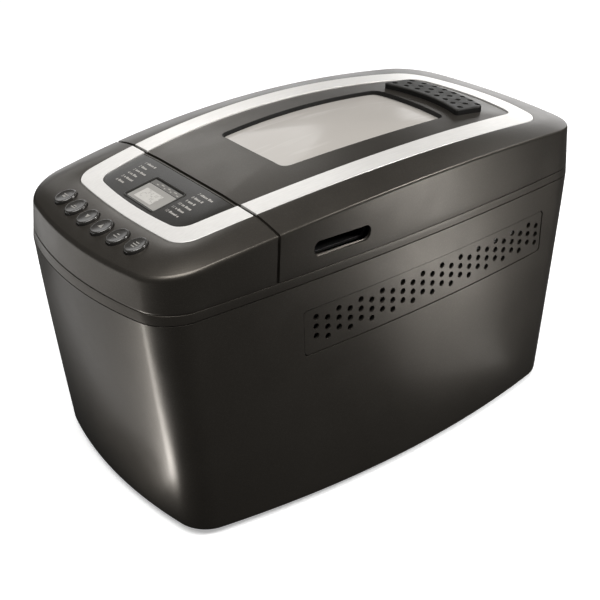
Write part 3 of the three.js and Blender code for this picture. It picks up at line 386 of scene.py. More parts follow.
# ------------------------------------------------------------------ materials
class Graph:
    """A small helper that adds and links nodes of one material."""

    def __init__(self, name):
        self.material = bpy.data.materials.new(name)
        self.material.use_nodes = True
        self.tree = self.material.node_tree
        self.shader = self.tree.nodes["Principled BSDF"]
        self.place = self.node("ShaderNodeTexCoord").outputs["Object"]

    def node(self, kind, values=None, **settings):
        made = self.tree.nodes.new(kind)
        for key, value in settings.items():
            setattr(made, key, value)
        for key, value in (values or {}).items():
            made.inputs[key].default_value = value
        return made

    def link(self, source, target):
        self.tree.links.new(source, target)

    def stretched(self, scale, rotation=(0, 0, 0)):
        mapping = self.node("ShaderNodeMapping", {"Scale": scale, "Rotation": rotation})
        self.link(self.place, mapping.inputs["Vector"])
        return mapping.outputs["Vector"]

    def noise(self, scale, detail=3.0, rough=0.5, vector=None):
        made = self.node("ShaderNodeTexNoise", {"Scale": scale, "Detail": detail, "Roughness": rough})
        self.link(vector or self.place, made.inputs["Vector"])
        return made.outputs["Fac"]

    def cells(self, scale, vector=None):
        made = self.node("ShaderNodeTexVoronoi", {"Scale": scale})
        self.link(vector or self.place, made.inputs["Vector"])
        return made.outputs["Color"]

    def spread(self, value, low, high, start=0.3, stop=0.7):
        made = self.node("ShaderNodeMapRange",
                         {"From Min": start, "From Max": stop, "To Min": low, "To Max": high})
        self.link(value, made.inputs["Value"])
        return made.outputs["Result"]

    def blend(self, factor, first, second):
        made = self.node("ShaderNodeMix", data_type="RGBA")
        for socket, value in ((made.inputs[6], first), (made.inputs[7], second)):
            if hasattr(value, "is_linked"):
                self.link(value, socket)
            else:
                socket.default_value = (*value, 1)
        if hasattr(factor, "is_linked"):
            self.link(factor, made.inputs[0])
        else:
            made.inputs[0].default_value = factor
        return made.outputs[2]

    def bump(self, height, distance, strength=1.0, under=None):
        made = self.node("ShaderNodeBump", {"Strength": strength, "Distance": distance})
        self.link(height, made.inputs["Height"])
        if under is not None:
            self.link(under, made.inputs["Normal"])
        return made.outputs["Normal"]

    def rounded_edges(self, radius):
        return self.node("ShaderNodeBevel", {"Radius": radius}, samples=6).outputs["Normal"]

    def finish(self, colour=None, rough=None, normal=None, **constants):
        for key, source in (("Base Color", colour), ("Roughness", rough), ("Normal", normal)):
            if source is not None:
                self.link(source, self.shader.inputs[key])
        for key, value in constants.items():
            self.shader.inputs[key.replace("_", " ")].default_value = value
        return self.material


def graphite(name, dark, light, metallic, rough, coat, edge):
    """Pearl graphite plastic: fine flakes, faint cloudiness and a soft orange peel."""
    g = Graph(name)
    cloud = g.spread(g.noise(9, 2), 0, 1)
    base = g.blend(cloud, dark, light)
    flake = g.spread(g.cells(2600), 0, 1, 0.55, 1.0)
    sparkle = g.blend(flake, (0, 0, 0), (0.06, 0.057, 0.052))
    add = g.node("ShaderNodeMix", data_type="RGBA", blend_type="ADD")
    add.inputs[0].default_value = 0.35
    g.link(base, add.inputs[6])
    g.link(sparkle, add.inputs[7])
    roughness = g.spread(g.noise(45, 4), rough - 0.025, rough + 0.03)
    peel = g.bump(g.noise(420, 2), 0.00002, 0.5, g.rounded_edges(edge))
    grain = g.bump(g.noise(2400, 1), 0.000006, 0.6, peel)
    return g.finish(add.outputs[2], roughness, grain, Metallic=metallic, Coat_Weight=coat,
                    Coat_Roughness=0.16)


def satin(name, colour, second, rough, metallic, grain_scale=(60, 900, 900)):
    """A bright satin finish with a faint lengthwise grain."""
    g = Graph(name)
    lines = g.noise(1, 3, vector=g.stretched(grain_scale))
    base = g.blend(g.spread(lines, 0, 1), colour, second)
    roughness = g.spread(g.noise(70, 3), rough - 0.03, rough + 0.04)
    normal = g.bump(lines, 0.000004, 0.5, g.rounded_edges(0.0003))
    return g.finish(base, roughness, normal, Metallic=metallic, Coat_Weight=0.15, Coat_Roughness=0.2)


def plastic(name, colour, second, rough, bump=0.00002, scale=900, **more):
    g = Graph(name)
    base = g.blend(g.spread(g.noise(30, 3), 0, 1), colour, second)
    roughness = g.spread(g.noise(110, 3), rough - 0.05, rough + 0.05)
    normal = g.bump(g.noise(scale, 2), bump, 0.6, g.rounded_edges(0.0003))
    return g.finish(base, roughness, normal, **more)


def brushed(name, colour, second, rough, scale=(30, 700, 700), metallic=1.0):
    g = Graph(name)
    lines = g.noise(1, 4, 0.6, g.stretched(scale))
    stain = g.spread(g.noise(14, 4), 0, 1)
    base = g.blend(g.spread(lines, 0, 1), colour, second)
    base = g.blend(stain, base, tuple(c * 0.82 for c in colour))
    roughness = g.spread(lines, rough - 0.07, rough + 0.09)
    normal = g.bump(lines, 0.00001, 0.6, g.rounded_edges(0.0003))
    return g.finish(base, roughness, normal, Metallic=metallic)


def speckled_coating(name):
    """Dark non-stick coating with pale mineral specks."""
    g = Graph(name)
    specks = g.spread(g.noise(1500, 2, 0.7), 0, 1, 0.66, 0.74)
    cloud = g.blend(g.spread(g.noise(25, 3), 0, 1), (0.030, 0.030, 0.031), (0.045, 0.044, 0.044))
    base = g.blend(specks, cloud, (0.22, 0.21, 0.20))
    roughness = g.spread(g.noise(160, 3), 0.36, 0.5)
    normal = g.bump(g.noise(900, 3), 0.00003, 0.5, g.rounded_edges(0.0004))
    return g.finish(base, roughness, normal, Metallic=0.15)


def pane(name):
    """Smoke-tinted glass whose pale, cloudy base colour is painted reflection of the bright studio, with
    faint lighter diagonal streaks.
    """
    g = Graph(name)
    streaks = g.noise(1, 3, 0.5, g.stretched((9, 75, 20), (0, 0, math.radians(38))))
    # Painted reflection: the pale base tones stand in for the bright studio mirrored in the pane.
    reflection_cloud = g.noise(7, 2)
    base = g.blend(g.spread(reflection_cloud, 0, 1), (0.335, 0.314, 0.288), (0.365, 0.343, 0.315))
    base = g.blend(g.spread(streaks, 0, 0.5, 0.58, 0.74), base, (0.47, 0.447, 0.418))
    roughness = g.spread(streaks, 0.16, 0.24)
    return g.finish(base, roughness, None, Transmission_Weight=0.04, Coat_Weight=0.06,
                    Coat_Roughness=0.12, Specular_IOR_Level=0.15)


def dark_glass(name):
    """Opaque dark glass. The display's layers lie on it."""
    g = Graph(name)
    smudge = g.noise(60, 3)
    base = g.blend(g.spread(smudge, 0, 1), (0.012, 0.012, 0.011), (0.018, 0.018, 0.017))
    return g.finish(base, g.spread(smudge, 0.1, 0.18), None)


def liquid_crystal(name):
    g = Graph(name)
    cloud = g.spread(g.noise(40, 3), 0, 1)
    base = g.blend(cloud, (0.21, 0.201, 0.185), (0.24, 0.23, 0.212))
    grid = g.node("ShaderNodeTexChecker", {"Scale": 2500})
    g.link(g.place, grid.inputs["Vector"])
    base = g.blend(0.01, base, grid.outputs["Color"])
    return g.finish(base, g.spread(cloud, 0.35, 0.45), None, Specular_IOR_Level=0.3)


def ink(name, colour, scale=700):
    g = Graph(name)
    base = g.blend(g.spread(g.noise(scale, 3), 0, 1), colour, tuple(c * 0.85 for c in colour))
    return g.finish(base, g.spread(g.noise(300), 0.45, 0.6), g.bump(g.noise(2500), 0.000005, 0.4))


def circuit(name):
    g = Graph(name)
    traces = g.spread(g.cells(260), 0, 1, 0.45, 0.55)
    base = g.blend(traces, (0.015, 0.10, 0.035), (0.03, 0.17, 0.06))
    return g.finish(base, g.spread(g.noise(90), 0.35, 0.5), g.bump(traces, 0.00003, 0.5))


HOUSING = graphite("graphite_pearl", (0.0635, 0.0563, 0.0470), (0.0715, 0.0637, 0.0537),
                   metallic=0.76, rough=0.35, coat=0.06, edge=0.0001)
PANEL = graphite("panel_gloss", (0.021, 0.0193, 0.0168), (0.025, 0.023, 0.020),
                 metallic=0.35, rough=0.30, coat=0.15, edge=0.0002)
BUTTON = graphite("button_gloss", (0.040, 0.0375, 0.034), (0.048, 0.045, 0.041),
                  metallic=0.45, rough=0.22, coat=0.6, edge=0.0003)
TRIM = satin("satin_silver", (0.68, 0.661, 0.632), (0.74, 0.72, 0.69), 0.36, 0.42)
BLACK = plastic("black_plastic", (0.012, 0.0117, 0.011), (0.018, 0.0175, 0.0165), 0.42)
GRILLE_GREY = plastic("grille_grey", (0.014, 0.013, 0.0116), (0.020, 0.0188, 0.0168), 0.5, 0.00004,
                      1100, Specular_IOR_Level=0.3)
RUBBER = plastic("rubber", (0.010, 0.010, 0.010), (0.016, 0.016, 0.015), 0.75, 0.00006, 1300)
STEEL = brushed("brushed_steel", (0.56, 0.55, 0.53), (0.66, 0.65, 0.63), 0.32)
ROD_STEEL = brushed("polished_steel", (0.62, 0.61, 0.60), (0.72, 0.71, 0.70), 0.2, (900, 900, 200))
COATING = speckled_coating("nonstick_coating")
# The window's pane; its pale colour is painted reflection.
PANE_PAINTED_REFLECTION = pane("glass_painted_reflection")
DARK_GLASS = dark_glass("display_dark_glass")
LCD = liquid_crystal("liquid_crystal")
PRINT = ink("printed_marks", (0.36, 0.343, 0.317))
BUTTON_INK = ink("button_marks", (0.24, 0.229, 0.21))
# Near-black: on the window's well it is painted shade; on the grille's foot it is the gasket.
SEAL_AND_PAINTED_SHADE = plastic("painted_well_shade_and_seal", (0.005, 0.0048, 0.0045), (0.008, 0.0076, 0.007), 0.5,
               Specular_IOR_Level=0.25)
SEGMENT = ink("display_segments", (0.33, 0.318, 0.296), 40)
SEGMENT_FIELD = ink("display_field_tone", (0.42, 0.404, 0.376), 40)
STRIP = ink("display_strip", (0.105, 0.10, 0.092), 40)
BOARD = circuit("circuit_board")
BRASS = brushed("brass_bush", (0.62, 0.44, 0.17), (0.72, 0.53, 0.24), 0.3, (600, 600, 90))


def paint(obj, material):
    obj.data.materials.clear()
    obj.data.materials.append(material)
    return obj


def placed(obj, name, material, body, nodes=()):
    obj.name = name
    obj.data.name = name
    paint(obj, material)
    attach(obj, body)
    if nodes:
        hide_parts(*nodes)
    return obj


# ------------------------------------------------------------------ lower housing
def foot_round(drop=4.0, inset=3.0):
    """[height, extra inset] rows of the rounded bottom edge."""
    return [(FLOOR_Z + drop * (1 - c), inset * (1 - s)) for s, c in quarter(6)]


def lower_rings(inset, foot, top):
    rings = [flat(wall_outline(z, inset + extra), z) for z, extra in foot]
    for z in np.linspace(14, 168, 16):
        rings.append(flat(wall_outline(z, inset), z))
    rings.append(raised(wall_outline(SEAM_Z, inset), lambda x: seam_z(x, top)))
    return rings


def vent_box(x1, grow, y0, y1):
    v = VENT
    low = v["z"] - v["height"] / 2 - grow
    return upright_plate(v["x0"] - grow, x1 + grow, low, low + v["height"] + 2 * grow, y0, y1,
                         v["corner"], v["slope"])


def vent_holes(columns, y0, y1):
    h = HOLES
    tools = []
    for i in range(columns):
        x = h["first"] + i * h["dx"]
        for k in range(h["rows"]):
            z = h["z"] + h["dz"] * (1 - k) - (i % 2) * h["dz"] / 2 + VENT["slope"] * x
            tools.append(cylinder("y", h["radius"], y1 - y0, (x, (y0 + y1) / 2, z), 20))
    return merged(tools)


def lower_housing():
    front, rear = (-130, -60), (60, 130)
    outer = loft(lower_rings(0, foot_round(), -GAP / 2))
    inner = loft(lower_rings(WALL, [(FLOOR_Z - 1, 3.2), (FLOOR_Z + 5, 0)], 3))
    shell = cut(solid(outer, "lower_housing_shell"), solid(inner))
    c = CORD_ENTRY
    cut(shell, upright_plate(*box_about(c["x"], c["z"], c["width"], c["height"], 0.4), *rear, 4.2),
        vent_box(VENT["x1"], VENT["opening"], *front), vent_box(VENT["rear_x1"], VENT["opening"], *rear))
    placed(smooth(shell, Guide(*outer)), "lower_housing_shell", HOUSING, "housing",
           ["lower_housing"])

    plate_outer = loft(lower_rings(VENT["sunk"], [(FLOOR_Z, 3), (FLOOR_Z + 4, 0)], -GAP / 2))
    plate_guide = Guide(*plate_outer)
    for side, x1, columns, reach in (("front", VENT["x1"], HOLES["columns"], front),
                                     ("rear", VENT["rear_x1"], HOLES["rear"], rear)):
        plate = cut(solid(plate_outer), solid(inner))
        keep(plate, vent_box(x1, VENT["plate"], *reach))
        cut(plate, vent_holes(columns, *reach))
        placed(smooth(plate, plate_guide), f"vent_plate_{side}", HOUSING, "housing",
               [f"vent_panel_{side}"])


# ------------------------------------------------------------------ upper housing and lid
def shoulder_power(x):
    """The shoulder is rounded at the panel's end and nearly straight along the lid."""
    left = np.clip((x + 172) / 52, 0, 1)
    return 2.1 - 0.9 * left * left * (3 - 2 * left)


def shoulder_ring(start, stop, t):
    rise = 1 - (1 - t) ** shoulder_power(start[:, 0])
    return np.c_[lerp(start[:, :2], stop[:, :2], t), lerp(start[:, 2], stop[:, 2], rise)]


def crease_ends(low, high, start, stop):
    """Where the crease's rounding begins and ends: tight along the lid, wider at the panel."""
    soft = np.clip((-120 - start[:, 0]) / 45, 0, 1)[:, None]
    soft = soft * soft * (3 - 2 * soft)
    before = lerp(lerp(low, high, 0.989), lerp(low, high, 0.955), soft)
    after = lerp(shoulder_ring(start, stop, 0.035), shoulder_ring(start, stop, 0.06), soft)
    return before, after


def dome_level(s):
    return lerp(DOME_EDGE, DOME_MIDDLE, 1 - s * s)


def facing(ring):
    """Outward horizontal directions along a closed outline, as rows of x, y and zero."""
    run = np.roll(ring, -1, axis=0) - np.roll(ring, 1, axis=0)
    run = run / np.linalg.norm(run, axis=1)[:, None]
    return np.c_[run[:, 1], -run[:, 0], np.zeros(len(ring))]


def upper_rings(inset, bottom, fine):
    belt, crease = outline(BELT_LINE, inset), outline(CREASE, inset)
    trim_outer, trim_inner = outline(TRIM_OUTER), outline(TRIM_INNER)
    low = raised(belt, lambda x: seam_z(x, bottom))
    high = raised(crease, lambda x: crease_z(x) - 2.2 - inset)
    start = raised(crease, lambda x: crease_z(x) - 0.5 - inset)
    stop = raised(trim_outer, lambda x: dome_z(x, DOME_AT_BAND) - inset)
    rings = []
    if fine:
        rings.append(raised(outline(BELT_LINE, inset + 1.4), lambda x: seam_z(x, bottom)))
        rings += [lerp(low, high, t) for t in (0.012, 0.03, 0.08)]
        for above, sunk in LID_GROOVE:
            share = ((above - bottom) / (high[:, 2] - low[:, 2]))[:, None]
            rings.append(lerp(low, high, share) - sunk * facing(belt))
        rings += [lerp(low, high, t) for t in (0.3, 0.42, 0.54, 0.66, 0.78, 0.88, 0.94)]
        turn_from, turn_to = crease_ends(low, high, start, stop)
        corner = lerp(high, start, 0.7)
        for t in np.linspace(0, 1, 8):
            rings.append((1 - t) ** 2 * turn_from + 2 * t * (1 - t) * corner + t * t * turn_to)
        rings += [shoulder_ring(start, stop, 0.045 + 0.955 * u ** 1.35)
                  for u in np.linspace(0, 1, 20)[1:-1]]
        rings.append(stop)
        rings.append(lerp(stop, raised(trim_inner, lambda x: dome_z(x, DOME_EDGE) - inset), 0.5))
        shares = DOME_SHARES
    else:
        rings += [low, high, stop]
        shares = (1, 0.8, 0.6, 0.4, 0.2, 0.05)
    for s in shares:
        rings.append(raised(scaled(trim_inner, s), lambda x, s=s: dome_z(x, dome_level(s)) - inset))
    return rings


OUTER = loft(upper_rings(0, GAP / 2, True))
OUTER_GUIDE = Guide(*OUTER)
INNER = loft(upper_rings(WALL, -4, False))


def surface_height(x, y):
    """Height of the outer skin above a point, in millimetres."""
    hit = OUTER_GUIDE.tree.ray_cast(Vector((x * MM, y * MM, 0.4)), Vector((0, 0, -1)))
    return hit[0].z / MM


def trim_band(grow=0.0, cutter=False):
    """The bright band as a closed loop. A cutter is taller, and grown by a clearance for its groove."""
    outer, inner = outline(TRIM_OUTER, -grow), outline(TRIM_INNER, grow)

    def row(share, depth):
        ends = [raised(ring, lambda x, level=level: dome_z(x, level - depth))
                for ring, level in ((outer, BAND_LEVELS[0]), (inner, BAND_LEVELS[1]))]
        return lerp(*ends, share)

    if cutter:
        rows = [row(0, -CUTTER_RISE), row(1, -CUTTER_RISE)]
    else:
        rows = [row(share, depth) for share, depth in BAND_PROFILE]
    return loft([row(0, 1.6 + grow)] + rows + [row(1, 2.2 + grow)], closed=True)


def dome_slab(points, depth0, depth1):
    """A slab that follows the dome inside an outline, between two depths below its surface."""
    shares = (1, 0.9, 0.8, 0.7, 0.6, 0.5, 0.4, 0.3, 0.2, 0.1, 0.03)
    rings = lambda depth: [raised(scaled(points, s), lambda x, s=s: dome_z(x, dome_level(s)) - depth)
                           for s in shares]
    return loft(rings(depth1)[::-1] + rings(depth0))


def right_of(x):
    return block(x, FAR, -FAR, FAR, BELOW_ALL, ABOVE_ALL)


def left_of(x):
    return block(-FAR, x, -FAR, FAR, BELOW_ALL, ABOVE_ALL)


def above_lid(above):
    return sloped_block(-FAR, FAR, -FAR, FAR, lambda x: lid_z(x, above), lambda x: ABOVE_ALL)


def below_lid(above):
    return sloped_block(-FAR, FAR, -FAR, FAR, lambda x: BELOW_ALL, lambda x: lid_z(x, above))


def button_spot(i):
    b = BUTTONS
    y = (i - (b["count"] - 1) / 2) * b["pitch"]
    x = b["x"] + b["bow"] * (y / 48) ** 2
    return x, y, surface_height(x, y)


def tilted(spot, slope, points):
    """Points of a local frame at a spot, tilted about Y like the shoulder."""
    turn = Matrix.Rotation(-math.atan(slope), 3, "Y")
    base = Vector(spot)
    return [tuple(turn @ Vector(p) + base) for p in points]


def ellipse_loft(spot, rows, segments=48):
    b = BUTTONS
    rings = []
    for share, extra, h in rows:
        ring = [((b["half_x"] * share + extra) * c, (b["half_y"] * share + extra) * s, h)
                for c, s in turns(segments)]
        rings.append(tilted(spot, b["slope"], ring))
    return loft(rings)


def hinge_lug(x0, x1):
    h = HINGE
    post = block(x0, x1, h["y"] - h["lug"], h["y"] + h["lug"], SEAM_Z, h["z"])
    return join(post, cylinder("x", h["lug"], x1 - x0, ((x0 + x1) / 2, h["y"], h["z"]), 32))


def hinge_bore():
    return cylinder("x", HINGE["pin"] + 0.3, 2 * FAR, (0, HINGE["y"], HINGE["z"]), 24)


def upper_housing():
    edge = LID_LEFT - GAP / 2
    part = solid(OUTER, "upper_housing_shell")
    region = join(left_of(edge), below_lid(-GAP / 2))
    keep(part, region)
    panel_space = keep(solid(INNER), left_of(edge - WALL))
    rim_space = keep(solid(INNER), right_of(edge - WALL - 1), below_lid(-GAP / 2 - 3),
                     block(-FAR, FAR, -FAR, 86, -10, 300))
    c = CHAMBER
    opening = rounded_block(c["x0"] + 2, c["x1"] - 2, 2 - c["half_width"], c["half_width"] - 2, 100, 260,
                            c["corner"] - 2)
    relief = sloped_block(edge, FAR, REAR_EDGE, FAR, lambda x: lid_z(x, -GAP / 2 - 5),
                          lambda x: ABOVE_ALL)
    cut(part, panel_space, rim_space, opening, relief)
    for x in HINGE["xs"]:
        for s in (-1, 1):
            near = x + s * (HINGE["ear"] / 2 + 1)
            far = near + s * HINGE["lug_width"]
            join(part, hinge_lug(min(near, far), max(near, far)))
    cut(part, keep(hinge_bore(), right_of(LID_LEFT + 5)))
    cut(part, keep(solid(trim_band(GAP, cutter=True)), left_of(LID_LEFT)))
    pocket = keep(solid(dome_slab(outline(TRIM_INNER, 0.1), -6, FASCIA + 0.3)),
                  left_of(LID_LEFT - FASCIA_END + 0.4))
    cut(part, pocket, display_slot(2, 3))
    for i in range(BUTTONS["count"]):
        cut(part, solid(ellipse_loft(button_spot(i), BUTTON_HOLE)))
    cut(part, joint_groove())
    placed(smooth(part, OUTER_GUIDE), "upper_housing_shell", HOUSING, "housing",
           ["upper_housing"])


def display_slot(grow, corner):
    d = DISPLAY
    return rounded_block(*box_about(d["x"], d["y"], d["size_x"], d["size_y"], grow), 150, 260, corner)


def panel():
    body = dome_slab(outline(TRIM_INNER, 0.5), 0, FASCIA)
    guide = Guide(*body)
    fascia = cut(keep(solid(body), left_of(LID_LEFT - FASCIA_END)), display_slot(0, DISPLAY["corner"]))
    placed(smooth(fascia, guide), "panel_plate", PANEL, "housing", ["panel_fascia"])
    glass = dome_slab(outline(TRIM_INNER, 0.5), 0.55, 1.3)
    glass_guide = Guide(*glass)
    window = keep(solid(glass), display_slot(-GAP, DISPLAY["corner"]))
    placed(smooth(window, glass_guide), "display_cover", DARK_GLASS, "housing", ["display_lens"])
    display_parts()
    band = trim_band()
    band_guide = Guide(*band)
    left = keep(solid(band), left_of(LID_LEFT - BAND_END))
    placed(smooth(left, band_guide), "panel_trim_band", TRIM, "housing", ["panel_trim"])


def draped(ring, depth):
    """Points set a given depth below the outer skin."""
    return [(x, y, surface_height(x, y) - depth) for x, y in ring]


def draped_plate(name, ring, depth, thick):
    return solid(loft([draped(ring, depth + thick), draped(ring, depth)]), name)


def display_parts():
    """The display's bezel, rim and layers, each draped over the dome at its own depth."""
    d = DISPLAY
    x0, x1, y0, y1 = box_about(d["x"], d["y"], d["size_x"], d["size_y"], -0.4)
    bezel = draped_plate("display_bezel", rounded_ring(x0, x1, y0, y1, 1.8), 1.75, 3)
    placed(smooth(bezel), "display_bezel", BLACK, "housing", ["display_module"])
    rim_outer = np.array(rounded_ring(x0 - 1.5, x1 + 1.5, y0 - 1.5, y1 + 1.5, 3.2))
    rim_inner = np.array(rounded_ring(x0 + 0.5, x1 - 0.5, y0 + 0.5, y1 - 0.5, 1.6))
    rows = ((0, 0.25), (0.06, -0.12), (0.3, -0.42), (0.55, -0.42), (0.85, -0.1), (1, 1.1), (0.5, 1.1))
    rim = solid(loft([draped(lerp(rim_outer, rim_inner, t), depth) for t, depth in rows], closed=True))
    placed(smooth(rim), "display_rim", PANEL, "housing")
    strip = x1 - 6.2
    for name, ring, depth, thick, material in (
            ("display_face", (x0 + 1.1, strip, y0 + 1.1, y1 - 1.1, 0.6), 0.45, 0.1, LCD),
            ("display_label", (strip + 0.5, x1 - 1.0, y0 + 1.1, y1 - 1.1, 0.5), 0.45, 0.1, STRIP),
            ("display_field", (x0 + 3.6, strip - 4.6, y0 + 10, y1 - 6, 0.6), 0.42, 0.03, SEGMENT_FIELD)):
        layer = draped_plate(name, rounded_ring(*ring), depth, thick)
        placed(smooth(layer), name, material, "housing")
    marks = []
    y = y0 + 2.6
    for i, length in enumerate((2.2, 3.4, 1.8, 2.8, 2.0, 3.6, 2.4)):
        row = strip + 1.6 + (i % 2) * 1.5
        dash = rounded_ring(row, row + 0.75, y, y + length, 0.25, 2)
        marks.append(draped_plate("mark", dash, 0.37, 0.05))
        y += length + 1.5
    placed(smooth(merged(marks)), "display_label_marks", PRINT, "housing")
    digits = seven_segments(DISPLAY_TIME, x0 + 6.2, y1 - 9.2)
    placed(smooth(digits), "display_digits", SEGMENT, "housing")


DISPLAY_TIME = "2:40"
SEGMENTS = {"0": "abcdef", "2": "abged", "4": "fgbc"}


def seven_segments(text, x, y, height=8.0, width=4.0, bar=0.8):
    """Numerals of seven bars each. They stand along +X and run towards -Y."""
    level = {"a": 1, "g": 0.5, "d": 0}
    sides = {"b": (0.5, 1), "c": (0, 1), "f": (0.5, 0), "e": (0, 0)}
    tip = 0.7
    bars = []
    for sign in text:
        if sign == ":":
            for rise in (0.3, 0.7):
                bars.append((x + height * rise - bar / 2, x + height * rise + bar / 2, y - bar, y))
            y -= 2 * bar
            continue
        for part in SEGMENTS[sign]:
            if part in level:
                at = x + level[part] * height
                bars.append((at - bar / 2, at + bar / 2, y - width + tip, y - tip))
            else:
                low, right = sides[part]
                at = y - right * width
                bars.append((x + low * height + tip, x + (low + 0.5) * height - tip,
                             at - bar / 2, at + bar / 2))
        y -= width + 1.9
    return merged([draped_plate("bar", rounded_ring(*b, 0.2, 2), 0.36, 0.05) for b in bars])


def numeral(text, x, y, size):
    """A number printed on the fascia, read from the panel's end, as a thin solid."""
    curve = bpy.data.curves.new("numeral", "FONT")
    curve.body, curve.size, curve.extrude = text, size, 0.02
    curve.align_x = "RIGHT"
    temp = bpy.data.objects.new("numeral", curve)
    bpy.context.scene.collection.objects.link(temp)
    graph = bpy.context.evaluated_depsgraph_get()
    mesh = bpy.data.meshes.new_from_object(temp.evaluated_get(graph))
    bpy.data.objects.remove(temp)
    verts = []
    for v in mesh.vertices:
        px, py = x + v.co.y, y - v.co.x
        verts.append((px, py, surface_height(px, py) + 0.02 + v.co.z * 2))
    faces = [tuple(p.vertices) for p in mesh.polygons]
    return new_object("numeral", verts, faces)


def printed_lists():
    """Two numbered programme lists. Short dashes stand for each programme's name."""
    lengths = ((9.5, 7.5, 11.5, 8.5, 10.5, 7.0), (12.5, 9.0, 7.5, 11.0, 8.0, 10.0))
    pieces = []
    for column, (y, first, slant) in enumerate(LISTS["columns"]):
        for row in range(6):
            x = LISTS["x"] - row * LISTS["pitch"]
            start = y - slant * row
            pieces.append(numeral(str(first + row), x, start - 3.2, LISTS["size"]))
            at, stop, k = start - 4.4, start - 4.4 - lengths[column][row], row
            while at > stop:
                run = 0.9 + 0.35 * (k % 3)
                tall = 2.0 if k % 4 == 1 else 1.5
                dash = rounded_ring(x + 0.4, x + 0.4 + tall, at - run, at, 0.25, 2)
                pieces.append(draped_plate("bar", dash, -0.05, 0.08))
                at -= run + (1.3 if k % 5 == 4 else 0.45)
                k += 1
    placed(smooth(merged(pieces)), "programme_marks", PRINT, "housing")


def mark(x0, x1, half):
    return [(x0, -half), (x1, -half), (x1, half), (x0, half)]


ICONS = (
    (mark(-2.4, -1.6, 1.8), mark(-0.4, 0.4, 2.6), mark(1.6, 2.4, 1.8)),
    (mark(-1.6, -0.8, 2.6), mark(0.8, 1.6, 1.6)),
    ([(-1.5, -2.2), (1.8, 0), (-1.5, 2.2)],),
    ([(1.5, -2.2), (1.5, 2.2), (-1.8, 0)],),
    (mark(-2.2, -1.4, 2.6), mark(-0.4, 0.4, 1.6)),
    (mark(-1.7, -0.2, 1.7), mark(0.7, 1.5, 2.8)),
)


def buttons():
    """Six dished caps, each with a small plain icon of bars, an arrow or a square."""
    for i, shapes in enumerate(ICONS):
        spot, name = button_spot(i), f"button_{i + 1}"
        cap = smooth(solid(ellipse_loft(spot, BUTTON_CAP)), angle=40)
        placed(cap, f"button_cap_{i + 1}", BUTTON, name, [name])
        icon = []
        for shape in shapes:
            ends = [tilted(spot, BUTTONS["slope"], [(x, y, z) for x, y in shape]) for z in (1.5, 1.78)]
            icon.append(solid(loft(ends, fan=False)))
        placed(merged(icon), f"button_icon_{i + 1}", BUTTON_INK, name)


# ------------------------------------------------------------------ lid
def grille_outline(grow, steps=28, corner=4.0):
    """A bowed strip with rounded corners, anticlockwise from the front of its right side."""
    g = GRILLE
    half = g["half_width"] + grow
    bow = lambda y: g["bow"] * (1 - (y / g["half_width"]) ** 2)
    arc = quarter(6)[1:6]
    ring = []
    for sign, x, other in ((1, g["x1"] + grow, g["x0"] - grow), (-1, g["x0"] - grow, g["x1"] + grow)):
        turn, end = sign * corner, sign * half
        for k in range(steps + 1):
            y = sign * (half - corner) * (2 * k / steps - 1)
            ring.append((x + bow(y), y))
        for s, c in arc:
            y = end - turn * (1 - s)
            ring.append((x + bow(y) - turn * (1 - c), y))
        ring += [(x + bow(end) - turn, end), (other + bow(end) + turn, end)]
        for s, c in arc:
            y = end - turn * (1 - c)
            ring.append((other + bow(y) + turn * (1 - s), y))
    return np.array(ring)


def grille():
    """The proud steam grille with its three rows of holes, and the dark gasket round its foot."""
    level, proud = GRILLE["level"], GRILLE["proud"]
    at = lambda grow, depth: raised(grille_outline(grow), lambda x: dome_z(x, level) + depth)
    below = [at(*row) for row in ((-5.4, -5.5), (-5.4, -2.9), (-0.6, -2.9), (-0.4, -2.6))]
    above = [at(grow, proud - drop) for grow, drop in GRILLE_TOP]
    plate = solid(loft(below + above))
    tools = []
    for c in range(3):
        count = 8 - (c % 2)
        for i in range(count):
            y = (i - (count - 1) / 2) * 10.6
            x = GRILLE["x0"] + 7.2 + c * 9.6 + GRILLE["bow"] * (1 - (y / GRILLE["half_width"]) ** 2)
            tools.append(cylinder("z", GRILLE["hole"], 8.6, (x, y, dome_z(x, level) + proud)))
    cut(plate, merged(tools))
    placed(smooth(plate, angle=38), "steam_grille", GRILLE_GREY, "lid", ["lid_grille"])
    top = proud - 1.15
    gasket = loft([at(*row) for row in ((0, -2.6), (0, top), (-0.38, top), (-0.38, -2.6))], closed=True)
    placed(smooth(solid(gasket)), "grille_gasket", SEAL_AND_PAINTED_SHADE, "lid")


def finger_slot(grow, y0, y1):
    f = FINGER
    return upright_plate(*box_about(f["x"], f["z"], f["width"], f["height"], grow), y0, y1,
                         f["height"] / 2 - 0.05 + grow, 0, 10)


def finger_lip():
    """The slanted lower lip of the finger recess: the opening grows downwards towards the front."""
    f, front = FINGER, wall_front(FINGER["x"])
    x0, x1, z0, z1 = box_about(f["x"], f["z"], f["width"], f["height"])
    rings = []
    for back, low, wide in ((3.4, 0.0, 0.0), (0.5, 1.5, 0.6), (-0.3, 2.3, 1.0), (-9, 2.3, 1.0)):
        ring = rounded_ring(x0 - wide, x1 + wide, z0 - low, z1, f["height"] / 2 - 0.06, 10)
        rings.append(upright(ring, front + back))
    return solid(loft(rings, fan=False))


def wall_front(x):
    ring = outline(BELT_LINE)
    near = ring[ring[:, 1] < 0]
    return near[np.argmin(abs(near[:, 0] - x))][1]


